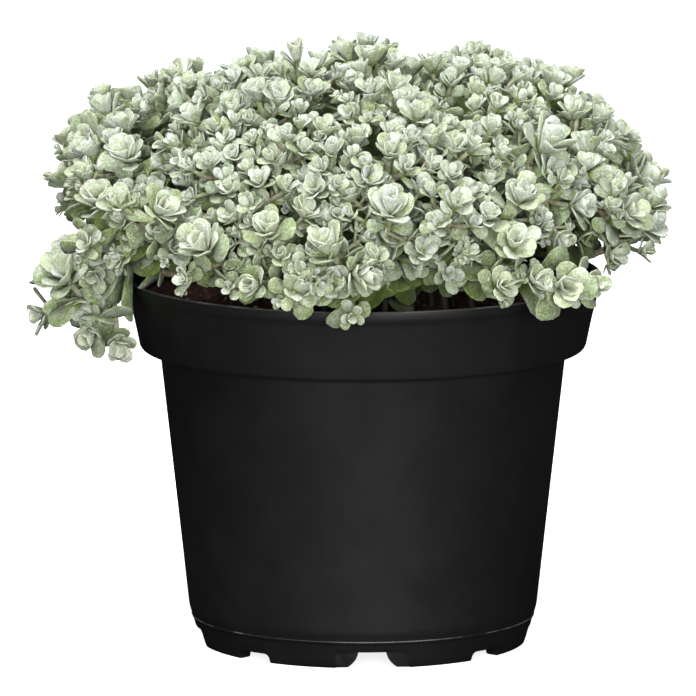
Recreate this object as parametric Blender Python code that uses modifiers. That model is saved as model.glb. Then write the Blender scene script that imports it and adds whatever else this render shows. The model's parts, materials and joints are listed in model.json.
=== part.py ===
"""Potted sedum: a nursery container, its root ball of peat and the shoots rooted in it.

Real size in metres, +Z up, standing on z = 0. The front looks along -Y.
Every shoot is one grown piece: a bent stem that forks below its rosettes.
"""
import math
import random

import bmesh
import bpy
from mathutils import Matrix, Vector
from mathutils.bvhtree import BVHTree
from mathutils.noise import noise

MM = 0.001
SEED = 5
GAP = 0.3  # clearance between pieces that touch, in mm

# The frame's origin is the middle of the whole plant's outline, so the pot stands a little to +X.
POT_AXIS = Vector((3.8, 0.0, 0.0))

# Container, in mm: radius and height pairs.
POT_STEPS = 48
INNER_SIDE = [
    (0.0, 8.2), (44.2, 8.2), (45.9, 10.2), (53.6, 81.0), (55.0, 82.6),
    (58.6, 83.8), (59.8, 86.0), (63.4, 100.5),
]
RIM_AND_COLLAR = [
    (64.0, 101.0), (64.7, 100.8), (65.0, 100.2), (64.9, 98.6), (64.2, 97.2),
    (62.3, 90.0), (60.8, 82.2), (60.2, 81.3), (55.2, 80.9),
]
WALL_AND_FOOT = [
    (47.3, 11.4), (46.9, 8.4), (46.3, 7.4), (44.8, 2.0),
    (43.9, 0.0), (40.2, 0.0), (39.6, 6.8), (0.0, 6.8),
]
NOTCH_TURN = 3.4       # where the first wide notch of the foot ring looks, degrees from the front
NOTCH_COUNT = 4        # of each width, alternating round the foot
WIDE_NOTCH = (20.0, 4.7)
NARROW_NOTCH = (11.0, 2.6)
DRAIN_COUNT = 6
DRAIN_RADIUS = 1.8
DRAIN_CIRCLE = 27.0

# Root ball: its upper side is a low mound that ends below the rim.
SOIL_STEPS = 24
SOIL_TOP = 94.2
SOIL_RINGS = [0.0, 10.0, 20.0, 30.0, 40.0, 50.0, 57.0]
SOIL_MOUND = 1.6
SOIL_LUMP = 0.8

# The cushion of rosettes: a squarish dome over the rim.
DOME_CENTRE = Vector((-3.0, 0.0, 98.0)) + POT_AXIS
DOME_SIZE = Vector((88.5, 82.0, 68.0))
DOME_SQUARENESS = 2.45
FOOT_SPREAD = 47.0
STEM_RADIUS = 1.0
BRANCH_RADIUS = 0.8
HEAD_FLATNESS = 0.86
LEAF_TIP = 1.06        # how far leaf tips stand out of a rosette, as a share of its radius
LEAF_GAP = 0.80        # the same for the valleys between them
LEAF_LIFT = 0.10

# Rosettes that end a stem, in rows of rise, size, swell and turns. Turn is in degrees from the front
# towards +X, rise in degrees above the dome's floor, size is the rosette's radius in mm, and swell
# is how far in mm the row stands out of the dome's skin, or lies behind it.
MAIN_TIERS = {
    "crown": [(83, 7.8, -2.2, (36,)), (72, 7.6, 0.0, (-46,)), (72, 7.6, -3.0, (170,))],
    "high": [
        (60, 7.6, -1.0, (-58, 52)), (60, 7.6, -12.0, (135,)), (60, 7.6, -15.0, (-125,)),
        (56, 7.8, -1.0, (18, 87)), (56, 7.8, -5.0, (180,)),
    ],
    "shoulder": [
        (50, 7.6, 0.0, (-75, -32)), (45, 7.8, 0.0, (19, 45, 88)), (45, 7.8, -5.0, (118,)),
        (45, 7.8, -9.0, (150, -150)),
    ],
    "upper": [(39, 7.8, 0.0, (-36, -17, 37)), (35, 7.6, 1.0, (-92, -5, 9, 24, 76))],
    "middle": [
        (31, 7.8, 0.0, (-33, 47, 135, 165, -158)), (31, 7.8, -3.5, (104, -122)),
        (28, 7.6, 0.5, (-98, -66, -20)),
    ],
    "lower": [
        (23, 7.8, 0.0, (8, 21, 36)),
        (19, 7.6, 0.0, (-53, -17, 62, 125, -175, -145, -120)), (19, 7.6, -2.0, (-98, 98)),
    ],
    "rim": [(15, 7.4, 0.0, (-29, -3, 32)), (13, 7.4, -2.0, (76, 150)), (12, 6.2, -12.0, (-59,))],
}
# Smaller rosettes on side branches, in the same rows: each joins the nearest stem.
SIDE_TIERS = [
    (66, 5.0, 0.0, (80,)), (66, 5.0, -5.0, (-100, 125, -170)),
    (54, 5.4, 0.0, (-66, 104)), (54, 5.4, -9.0, (155, -100, -150)),
    (48, 5.2, 0.0, (0, 65, -52)), (48, 5.2, -9.0, (170,)),
    (43, 5.6, 1.0, (-77, 60, 104)), (43, 5.6, -6.0, (135, -170, -120)),
    (39, 5.2, 0.0, (6, 92)),
    (34, 5.6, 0.0, (-48, 150, 180, -140, -108)),
    (30, 6.2, 1.0, (-82, -55, 14, 34, 61, 90, 120)),
    (27, 5.8, 0.0, (-9, 27, 150, -170)),
    (21, 6.0, 0.0, (-41, -6, 49, 110, 140, 165, -160, -132, -108)),
    (15, 5.8, 0.0, (-44, -19, 10, 21, 88, 112, 170, -135)),
    (9, 5.4, 0.0, (-19, 3, 130, -170, -150)),
]
# Shoots that lean out over the rim: way points in mm from the pot's axis, then their rosettes
# by centre, the way they look, and radius.
TRAILING = {
    "trailing_left": {
        "way": [(-36, -18), (-44, -20), (-57, -22), (-68, -20), (-77, -13), (-84, -7)],
        "height": [94.6, 101.5, 106.5, 106.6, 100.5, 93.4],
        "heads": [
            ((-87.2, -5.0, 90.6), (-0.85, -0.1, -0.05), 5.4),
            ((-79.0, -30.0, 104.0), (-0.3, -0.4, 0.9), 6.8),
            ((-73.0, -25.0, 90.5), (-0.3, -0.6, -0.5), 6.4),
            ((-65.6, -32.0, 86.6), (0.2, -0.5, -0.5), 4.8),
        ],
    },
    "trailing_front": {
        "way": [(-1, -43), (-1.4, -48), (-2, -56), (-2.4, -63), (-3, -69)],
        "height": [94.6, 100.5, 105.4, 105.6, 103.2],
        "heads": [((-3.2, -72.0, 101.2), (-0.4, -0.9, 0.2), 4.0)],
    },
    "trailing_right": {
        "way": [(30, -34), (35, -41), (42, -50), (47, -57), (51, -62.5)],
        "height": [94.6, 101.5, 107.6, 109.6, 109.0],
        "heads": [
            ((53.0, -65.5, 109.4), (0.35, -0.5, 0.75), 6.6),
            ((55.0, -68.5, 100.4), (0.3, -0.7, 0.2), 5.4),
        ],
    },
}

COLOURS = {
    "pot": ((0.0232, 0.0232, 0.0238), 0.5),
    "soil": ((0.020, 0.011, 0.007), 0.95),
    "shoot": ((0.40, 0.45, 0.32), 0.75),
}


def clear_scene():
    """Removes whatever the session opened with."""
    for item in list(bpy.data.objects):
        bpy.data.objects.remove(item, do_unlink=True)


def new_collection(name):
    """A collection of this name, linked into the scene."""
    made = bpy.data.collections.new(name)
    bpy.context.scene.collection.children.link(made)
    return made


def material(name, colour, roughness, metallic=0.0):
    """A Principled material of its own."""
    made = bpy.data.materials.new(name)
    made.use_nodes = True
    shader = made.node_tree.nodes["Principled BSDF"]
    shader.inputs["Base Color"].default_value = (*colour, 1.0)
    shader.inputs["Roughness"].default_value = roughness
    shader.inputs["Metallic"].default_value = metallic
    made.diffuse_color = (*colour, 1.0)
    return made


def add_object(name, mesh, collection):
    """An object of this mesh in this collection."""
    made = bpy.data.objects.new(name, mesh)
    collection.objects.link(made)
    return made


def shade_smooth(mesh):
    """Shades every face of the mesh smooth."""
    for face in mesh.polygons:
        face.use_smooth = True


def evaluated_mesh(item):
    """The object's shape with its modifiers applied, as a new mesh."""
    bpy.context.view_layer.update()
    graph = bpy.context.evaluated_depsgraph_get()
    return bpy.data.meshes.new_from_object(item.evaluated_get(graph))


def turned(name, profile, steps, collection):
    """A closed solid: a profile in mm spun round the pot's axis."""
    mesh = bpy.data.meshes.new(name)
    points = [(radius * MM, 0.0, height * MM) for radius, height in profile]
    mesh.from_pydata(points, [(i, i + 1) for i in range(len(points) - 1)], [])
    item = add_object(name, mesh, collection)
    item.location = POT_AXIS * MM
    spin = item.modifiers.new("spin", "SCREW")
    spin.axis = "Z"
    spin.angle = math.tau
    spin.steps = steps
    spin.render_steps = steps
    spin.use_merge_vertices = True
    spin.merge_threshold = 0.00005
    spin.use_smooth_shade = True
    return item


def direction(turn):
    """The level unit vector that looks this many degrees from the front towards +X."""
    angle = math.radians(turn)
    return Vector((math.sin(angle), -math.cos(angle), 0.0))


def notch_cutter(number, turn, width, height, cutters):
    """A block with rounded upper edges, laid across the foot ring."""
    mesh = bpy.data.meshes.new("notch")
    shape = bmesh.new()
    bmesh.ops.create_cube(shape, size=1.0)
    bmesh.ops.scale(shape, vec=(width * MM, 14 * MM, 2 * height * MM), verts=shape.verts)
    shape.to_mesh(mesh)
    shape.free()
    item = add_object(f"notch_{number}", mesh, cutters)
    item.location = (POT_AXIS + direction(turn) * 42.5) * MM
    item.rotation_euler.z = math.radians(turn)
    round_edges = item.modifiers.new("round", "BEVEL")
    round_edges.width = 1.1 * MM
    round_edges.segments = 1
    return item


def drain_cutter(number, turn, cutters):
    """A small upright cylinder through the pot's floor."""
    mesh = bpy.data.meshes.new("drain")
    shape = bmesh.new()
    radius = DRAIN_RADIUS * MM
    bmesh.ops.create_cone(
        shape, cap_ends=True, segments=12, radius1=radius, radius2=radius, depth=6 * MM
    )
    shape.to_mesh(mesh)
    shape.free()
    item = add_object(f"drain_{number}", mesh, cutters)
    item.location = (POT_AXIS + direction(turn) * DRAIN_CIRCLE + Vector((0, 0, 7.5))) * MM
    return item


def cut(item, cutter):
    """Takes the cutter's volume out of the object."""
    step = item.modifiers.new(cutter.name, "BOOLEAN")
    step.operation = "DIFFERENCE"
    step.solver = "EXACT"
    step.object = cutter


def make_pot(collection, cutters):
    """The container: a tapered wall, a collar, a thin lip and a notched foot ring."""
    pot = turned("pot", INNER_SIDE + RIM_AND_COLLAR + WALL_AND_FOOT, POT_STEPS, collection)
    pot.data.materials.append(material("pot_black", *COLOURS["pot"]))
    for number in range(NOTCH_COUNT):
        turn = NOTCH_TURN + number * 360 / NOTCH_COUNT
        cut(pot, notch_cutter(f"wide_{number}", turn, *WIDE_NOTCH, cutters))
        cut(pot, notch_cutter(f"narrow_{number}", turn + 180 / NOTCH_COUNT, *NARROW_NOTCH, cutters))
    for number in range(DRAIN_COUNT):
        cut(pot, drain_cutter(number, NOTCH_TURN + (number + 0.5) * 360 / DRAIN_COUNT, cutters))
    return pot


def soil_height(x, y):
    """Height of the root ball's upper side, in mm, at this place from the pot's axis."""
    out = math.hypot(x, y) / SOIL_RINGS[-1]
    waves = noise(Vector((x * 0.07, y * 0.07, 3.0))) + 0.5 * noise(Vector((x * 0.16, y * 0.16, 9.0)))
    return SOIL_TOP + SOIL_MOUND * (1 - out * out) + SOIL_LUMP * waves * (1 - out ** 4)


def make_soil(collection):
    """The root ball: it fills the pot with a small clearance all round."""
    edge = (60.9, SOIL_TOP - 0.6)
    side = [(59.2, 86.4), (58.2, 84.4), (54.6, 83.2), (53.2, 81.4), (45.5, 10.4), (43.9, 8.2 + GAP)]
    top = [(radius, SOIL_TOP) for radius in SOIL_RINGS]
    soil = turned("soil", top + [edge] + side + [(0.0, 8.2 + GAP)], SOIL_STEPS, collection)
    mesh = evaluated_mesh(soil)
    for corner in mesh.vertices:
        x, y, z = corner.co / MM
        if z > SOIL_TOP - 0.1:
            corner.co.z = soil_height(x, y) * MM
    soil.modifiers.clear()
    soil.data = mesh
    mesh.materials.append(material("peat", *COLOURS["soil"]))
    return soil


def dome_point(turn, rise):
    """A point on the squarish dome, in mm, and the way out of it there."""
    level = math.cos(math.radians(rise))
    ray = direction(turn) * level + Vector((0, 0, math.sin(math.radians(rise))))
    total = sum((abs(ray[i]) / DOME_SIZE[i]) ** DOME_SQUARENESS for i in range(3))
    return DOME_CENTRE + ray / total ** (1 / DOME_SQUARENESS), ray


def facing(ray):
    """Rosettes look out of the dome and up towards the light."""
    return (ray * 0.8 + Vector((0, 0, 0.42))).normalized()


class Head:
    """A rosette: its centre and radius in mm, the way it looks and where it sits in the plan."""

    def __init__(self, centre, looks, size, turn=0.0, rise=0.0):
        self.centre = centre
        self.looks = looks.normalized()
        self.size = size
        self.turn = turn
        self.rise = rise

    def base(self):
        """The point behind the rosette where its stem comes in."""
        return self.centre - self.looks * self.size * HEAD_FLATNESS

    def mesh(self):
        """A scalloped bud: rings of leaf tips, each ring turned by half a leaf."""
        shape = bmesh.new()
        rings = 5 if self.size > 6.5 else 4
        leaves = 8 if self.size > 6.5 else 6
        bmesh.ops.create_uvsphere(shape, u_segments=leaves, v_segments=rings, radius=1.0)
        for corner in shape.verts:
            around = round(math.atan2(corner.co.y, corner.co.x) / (math.tau / leaves))
            along = round(math.acos(max(-1.0, min(1.0, corner.co.z))) / (math.pi / rings))
            if abs(corner.co.z) > 0.99:
                continue
            tip = (around + along) % 2 == 0
            corner.co.x *= LEAF_TIP if tip else LEAF_GAP
            corner.co.y *= LEAF_TIP if tip else LEAF_GAP
            corner.co.z += LEAF_LIFT if tip else -LEAF_LIFT
        bmesh.ops.scale(shape, vec=(1.0, 1.0, HEAD_FLATNESS), verts=shape.verts)
        bmesh.ops.scale(shape, vec=(self.size * MM,) * 3, verts=shape.verts)
        upright = self.looks.to_track_quat("Z", "Y").to_matrix().to_4x4()
        placed = Matrix.Translation(self.centre * MM) @ upright
        bmesh.ops.transform(shape, matrix=placed, verts=shape.verts)
        made = bpy.data.meshes.new("head")
        shape.to_mesh(made)
        shape.free()
        return made


def planned_heads():
    """The rosettes of the dome: those that end a stem by tier, then the smaller side ones."""
    mains = []
    for tier, rows in MAIN_TIERS.items():
        for rise, size, swell, turns in rows:
            for turn in turns:
                spot, ray = dome_point(turn, rise)
                centre = spot + ray * (swell - size * 0.55)
                mains.append((tier, Head(centre, facing(ray), size, turn, rise)))
    for _, head in mains:
        nearest = min((head.centre - other.centre).length for _, other in mains if other is not head)
        head.size = min(head.size, nearest * 0.49)
    sides = []
    for rise, size, swell, turns in SIDE_TIERS:
        for turn in turns:
            spot, ray = dome_point(turn, rise)
            head = Head(spot + ray * (swell - size * 0.55 - 2.5), facing(ray), size, turn, rise)
            others = [other for _, other in mains] + sides
            room = min((head.centre - other.centre).length - other.size for other in others)
            head.size = min(head.size, room - 0.5)
            if head.size > 3.0:
                sides.append(head)
    return mains, sides


def bezier(start, start_pull, end_pull, end, share):
    """A point of the cubic curve through these four."""
    rest = 1 - share
    pulls = start_pull * 3 * rest ** 2 * share + end_pull * 3 * rest * share ** 2
    return start * rest ** 3 + pulls + end * share ** 3


def stem_way(foot, head, count):
    """Points in mm from the soil up into the back of the head."""
    reach = (head.base() - foot).length
    lift = Vector((0, 0, reach * 0.36))
    approach = head.base() - head.looks * reach * 0.34
    way = [bezier(foot, foot + lift, approach, head.base(), i / count) for i in range(count + 1)]
    way[1] = Vector((foot.x, foot.y, way[1].z))
    return way + [head.centre - head.looks * head.size * 0.2]


def branch_way(trunk, head):
    """Points in mm from inside the parent's stem to the back of the side head."""
    base = head.base()
    start = min(trunk[1:-1], key=lambda point: abs((base - point).length - 14.0))
    middle = start.lerp(base, 0.55) - head.looks * 1.5
    return [start, middle, base, head.centre - head.looks * head.size * 0.2]


def tube_mesh(way, radius, bevel_resolution=1):
    """A closed tube along these points, as a mesh with its end caps welded on."""
    curve = bpy.data.curves.new("way", "CURVE")
    curve.dimensions = "3D"
    curve.bevel_depth = radius * MM
    curve.bevel_resolution = bevel_resolution
    curve.use_fill_caps = True
    line = curve.splines.new("POLY")
    line.points.add(len(way) - 1)
    for place, point in zip(line.points, way):
        place.co = (*(point * MM), 1.0)
    item = bpy.data.objects.new("way", curve)
    bpy.context.scene.collection.objects.link(item)
    mesh = evaluated_mesh(item)
    bpy.data.objects.remove(item, do_unlink=True)
    shape = bmesh.new()
    shape.from_mesh(mesh)
    bmesh.ops.remove_doubles(shape, verts=shape.verts, dist=0.000002)
    bmesh.ops.recalc_face_normals(shape, faces=shape.faces)
    shape.to_mesh(mesh)
    shape.free()
    return mesh


def joined(meshes):
    """One closed mesh from several that overlap."""
    base = bpy.data.objects.new("base", meshes[0])
    extras = [bpy.data.objects.new("extra", mesh) for mesh in meshes[1:]]
    for item in [base] + extras:
        bpy.context.scene.collection.objects.link(item)
    for extra in extras:
        step = base.modifiers.new("join", "BOOLEAN")
        step.operation = "UNION"
        step.solver = "EXACT"
        step.object = extra
    mesh = evaluated_mesh(base)
    for item in [base] + extras:
        bpy.data.objects.remove(item, do_unlink=True)
    return mesh


def soil_finder(soil):
    """A function that gives the soil's height in mm under a round foot at x, y."""
    mesh = soil.data
    placed = [soil.location + corner.co for corner in mesh.vertices]
    tree = BVHTree.FromPolygons(placed, [tuple(face.vertices) for face in mesh.polygons])

    def height(x, y, radius=STEM_RADIUS):
        heights = []
        for step in range(8):
            aside = direction(step * 45) * radius
            hit = tree.ray_cast(Vector((x + aside.x, y + aside.y, 200.0)) * MM, Vector((0, 0, -1)))
            heights.append(hit[0].z / MM)
        return max(heights)

    return height


def foot_place(head, shake):
    """Where on the soil this head's stem is rooted, from the pot's axis, in mm."""
    out = FOOT_SPREAD * (1 - head.rise / 90) ** 0.8
    return direction(head.turn) * out + Vector((shake.uniform(-0.8, 0.8), shake.uniform(-0.8, 0.8), 0))


def make_shoot(name, trunk, heads, branches, collection):
    """One grown shoot: a stem, its side branches and all its rosettes as one closed piece."""
    meshes = [tube_mesh(trunk, STEM_RADIUS)]
    meshes += [tube_mesh(way, BRANCH_RADIUS, 0) for way in branches]
    meshes += [head.mesh() for head in heads]
    mesh = joined(meshes)
    mesh.name = name
    mesh.materials.clear()
    mesh.materials.append(material(f"{name}_leaf", *COLOURS["shoot"]))
    shade_smooth(mesh)
    return add_object(name, mesh, collection)


def make_dome(collection, ground):
    """All the shoots of the cushion."""
    shake = random.Random(SEED)
    mains, sides = planned_heads()
    kept = {id(head): [] for _, head in mains}
    for side in sides:
        def reach(entry):
            """How far this side rosette is from a stem's own, and how laden that stem is."""
            head = entry[1]
            return (head.centre - side.centre).length + 6 * len(kept[id(head)])

        kept[id(min(mains, key=reach)[1])].append(side)
    counts = {}
    for tier, head in mains:
        counts[tier] = counts.get(tier, 0) + 1
        place = POT_AXIS + foot_place(head, shake)
        foot = Vector((place.x, place.y, ground(place.x, place.y) + GAP))
        trunk = stem_way(foot, head, 4)
        branches = [branch_way(trunk, side) for side in kept[id(head)]]
        make_shoot(f"shoot_{tier}_{counts[tier]}", trunk, [head] + kept[id(head)], branches, collection)


def make_trailing(collection, ground):
    """The shoots that lean out over the rim."""
    for name, plan in TRAILING.items():
        trunk = [POT_AXIS + Vector((x, y, z)) for (x, y), z in zip(plan["way"], plan["height"])]
        trunk[1].xy = trunk[0].xy
        trunk[0].z = ground(trunk[0].x, trunk[0].y) + GAP
        heads = [
            Head(POT_AXIS + Vector(centre), Vector(looks), size)
            for centre, looks, size in plan["heads"]
        ]
        first = heads[0]
        trunk.append(first.centre - first.looks * first.size * 0.2)
        branches = []
        for head in heads[1:]:
            start = min(trunk[2:-1], key=lambda point: (point - head.centre).length)
            branches.append([start, start.lerp(head.base(), 0.5), head.base(), head.centre])
        make_shoot(f"shoot_{name}", trunk, heads, branches, collection)


def main():
    """Builds the pot, the soil and the shoots."""
    clear_scene()
    collection = new_collection("potted_sedum")
    cutters = new_collection("cutters")
    make_pot(collection, cutters)
    soil = make_soil(collection)
    ground = soil_finder(soil)
    make_dome(collection, ground)
    make_trailing(collection, ground)
    for cutter in cutters.objects:
        cutter.hide_render = True
        cutter.display_type = "WIRE"


main()
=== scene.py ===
"""Looks of the potted sedum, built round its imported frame.

The pot, the peat and every shoot of the CAD model are replaced by detailed pieces that take their
places from the CAD nodes: rosettes are found in each shoot's mesh, stems follow it, and leaves grow
from both by the plant's own rules (golden angle, age, tilt).
"""
import heapq
import json
import logging
import math
import random
from dataclasses import dataclass, field
from enum import Enum
from typing import Any, Iterable, Optional, Sequence

import bmesh
import bpy
import numpy as np
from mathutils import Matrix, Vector
from mathutils.noise import noise

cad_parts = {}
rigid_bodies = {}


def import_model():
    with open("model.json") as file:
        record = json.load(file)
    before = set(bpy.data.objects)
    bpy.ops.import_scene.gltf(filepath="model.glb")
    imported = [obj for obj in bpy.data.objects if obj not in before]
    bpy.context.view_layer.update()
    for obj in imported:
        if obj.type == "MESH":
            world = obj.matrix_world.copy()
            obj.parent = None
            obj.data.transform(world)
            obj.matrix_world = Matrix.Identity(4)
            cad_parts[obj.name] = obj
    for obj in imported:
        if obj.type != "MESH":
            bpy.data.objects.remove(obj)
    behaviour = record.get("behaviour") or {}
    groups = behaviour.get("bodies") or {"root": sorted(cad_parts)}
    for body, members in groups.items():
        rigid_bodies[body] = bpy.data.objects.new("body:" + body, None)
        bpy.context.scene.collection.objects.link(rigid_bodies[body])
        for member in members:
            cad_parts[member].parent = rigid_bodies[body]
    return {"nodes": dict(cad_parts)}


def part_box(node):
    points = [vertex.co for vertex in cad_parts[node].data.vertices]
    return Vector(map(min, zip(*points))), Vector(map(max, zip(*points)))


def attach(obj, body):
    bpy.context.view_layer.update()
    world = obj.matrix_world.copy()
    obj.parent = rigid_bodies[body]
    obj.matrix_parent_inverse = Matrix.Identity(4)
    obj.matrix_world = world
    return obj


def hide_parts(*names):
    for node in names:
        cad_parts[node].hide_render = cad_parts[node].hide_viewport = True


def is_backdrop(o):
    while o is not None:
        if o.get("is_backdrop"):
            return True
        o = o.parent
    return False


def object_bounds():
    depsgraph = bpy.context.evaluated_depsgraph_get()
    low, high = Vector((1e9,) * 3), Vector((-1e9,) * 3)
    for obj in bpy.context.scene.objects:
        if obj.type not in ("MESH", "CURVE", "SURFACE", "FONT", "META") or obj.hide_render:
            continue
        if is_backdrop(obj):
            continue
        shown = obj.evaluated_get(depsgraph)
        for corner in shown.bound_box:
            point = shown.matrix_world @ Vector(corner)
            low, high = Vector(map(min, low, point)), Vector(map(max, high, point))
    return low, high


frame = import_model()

LOG = logging.getLogger("potted_sedum")
MM = 0.001
GOLDEN_ANGLE = math.radians(137.508)
YOUNG_TILT = 0.20
OLD_TILT = 0.94
TILT_CURVE = 1.05
CAD_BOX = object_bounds()
ROOT = "root"

Colour = tuple[float, float, float]
Socket = Any
Item = bpy.types.Object


class PieceKind(Enum):
    """The kinds of piece the script builds: pot, peat and shoot."""

    POT = "pot"
    PEAT = "peat"
    SHOOT = "shoot"


# --- Node sheets ---


@dataclass
class NodeSheet:
    """A shader or geometry node tree that is written from code."""

    tree: bpy.types.NodeTree

    def add(self, kind: str, inputs: Optional[dict[Any, Any]] = None, **settings: Any) -> bpy.types.Node:
        """Adds one node.

        Args:
            kind: the node's type name.
            inputs: values or sockets for its inputs, by name or number.
            settings: the node's own properties.

        Returns:
            The node.
        """
        node = self.tree.nodes.new(kind)
        for name, value in settings.items():
            setattr(node, name, value)
        for key, value in (inputs or {}).items():
            self.plug(node, key, value)
        return node

    def plug(self, node: bpy.types.Node, key: Any, value: Any) -> None:
        """Links a socket to a node's input, or sets the input's value.

        Args:
            node: the node that receives it.
            key: the input's name or number.
            value: a socket to link, or a plain value.
        """
        target = node.inputs[key] if isinstance(key, int) else self.socket_named(node.inputs, key)
        if isinstance(value, bpy.types.NodeSocket):
            self.tree.links.new(value, target)
        else:
            target.default_value = value

    @staticmethod
    def socket_named(sockets: Iterable[Socket], name: str) -> Socket:
        """The first socket in use that has this name."""
        return next(socket for socket in sockets if socket.enabled and socket.name == name)

    def out(self, node: bpy.types.Node, name: str) -> Socket:
        """The node's output in use that has this name."""
        return self.socket_named(node.outputs, name)

    def math(self, operation: str, first: Any, second: Any = 0.0, clamp: bool = False) -> Socket:
        """A Math node.

        Args:
            operation: what it works out.
            first: its first value or socket.
            second: its second value or socket.
            clamp: whether the result stays between 0 and 1.

        Returns:
            The node's output.
        """
        node = self.add("ShaderNodeMath", {0: first, 1: second}, operation=operation, use_clamp=clamp)
        return node.outputs[0]

    def times(self, first: Any, second: Any) -> Socket:
        """The product of two values or sockets."""
        return self.math("MULTIPLY", first, second)

    def plus(self, first: Any, second: Any) -> Socket:
        """The sum of two values or sockets."""
        return self.math("ADD", first, second)

    def minus(self, first: Any, second: Any) -> Socket:
        """The first value or socket less the second."""
        return self.math("SUBTRACT", first, second)

    def stretched(self, vector: Any, by: Any) -> Socket:
        """Scales a vector.

        Args:
            vector: the vector or socket.
            by: a number or socket for all its parts, or a number for each.

        Returns:
            The scaled vector.
        """
        if isinstance(by, tuple):
            return self.add("ShaderNodeVectorMath", {0: vector, 1: by}, operation="MULTIPLY").outputs[0]
        return self.add("ShaderNodeVectorMath", {0: vector, "Scale": by}, operation="SCALE").outputs[0]

    def remap(self, value: Any, low: float, high: float, to_low: Any = 0.0, to_high: Any = 1.0) -> Socket:
        """Maps a value smoothly from one range to another.

        Args:
            value: the value or socket to map.
            low: where the first range starts.
            high: where it ends.
            to_low: the result at low.
            to_high: the result at high.

        Returns:
            The mapped value.
        """
        node = self.add(
            "ShaderNodeMapRange",
            {"Value": value, "From Min": low, "From Max": high, "To Min": to_low, "To Max": to_high},
            interpolation_type="SMOOTHSTEP",
        )
        return node.outputs[0]

    def blend(self, share: Any, first: Any, second: Any, kind: str = "MIX") -> Socket:
        """Mixes two colours.

        Args:
            share: how much of the second.
            first: a colour or socket.
            second: a colour or socket.
            kind: the way they mix.

        Returns:
            The mixed colour.
        """
        node = self.add("ShaderNodeMix", data_type="RGBA", blend_type=kind)
        for key, value in (("Factor", share), ("A", first), ("B", second)):
            is_colour = isinstance(value, tuple)
            self.plug(node, key, (*value, 1.0) if is_colour else value)
        return self.out(node, "Result")

    def noise(self, scale: float, detail: float, roughness: float, vector: Socket) -> Socket:
        """A Noise texture.

        Args:
            scale: how fine it is.
            detail: how many finer layers it has.
            roughness: how strong they are.
            vector: the coordinates it reads.

        Returns:
            Its value.
        """
        values = {"Vector": vector, "Scale": scale, "Detail": detail, "Roughness": roughness}
        return self.add("ShaderNodeTexNoise", values).outputs[0]


@dataclass
class FinishSheet(NodeSheet):
    """A material's node tree, with its shader and the piece's Object coordinates."""

    made: Any = None
    shader: Any = None
    place: Any = None

    @classmethod
    def named(cls, name: str) -> "FinishSheet":
        """A new material.

        Args:
            name: the material's name.

        Returns:
            Its sheet, ready for nodes.
        """
        made = bpy.data.materials.new(name)
        made.use_nodes = True
        sheet = cls(made.node_tree, made, made.node_tree.nodes["Principled BSDF"])
        sheet.place = sheet.add("ShaderNodeTexCoord").outputs["Object"]
        return sheet

    def own(self, name: str) -> Socket:
        """The piece's own attribute of this name."""
        return self.add("ShaderNodeAttribute", attribute_name=name).outputs["Fac"]

    def dress(self, values: dict[str, Any]) -> None:
        """Gives the shader its inputs.

        Args:
            values: a plain value or a socket for each, by name.
        """
        for name, value in values.items():
            self.plug(self.shader, name, value)

    def emboss(self, strength: float, distance: float, height: Socket) -> None:
        """Makes the surface look raised.

        Args:
            strength: how much of it shows.
            distance: how high it stands, in metres.
            height: its pattern.
        """
        bump = self.add("ShaderNodeBump", {"Strength": strength, "Distance": distance, "Height": height})
        self.plug(self.shader, "Normal", bump.outputs[0])


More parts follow.
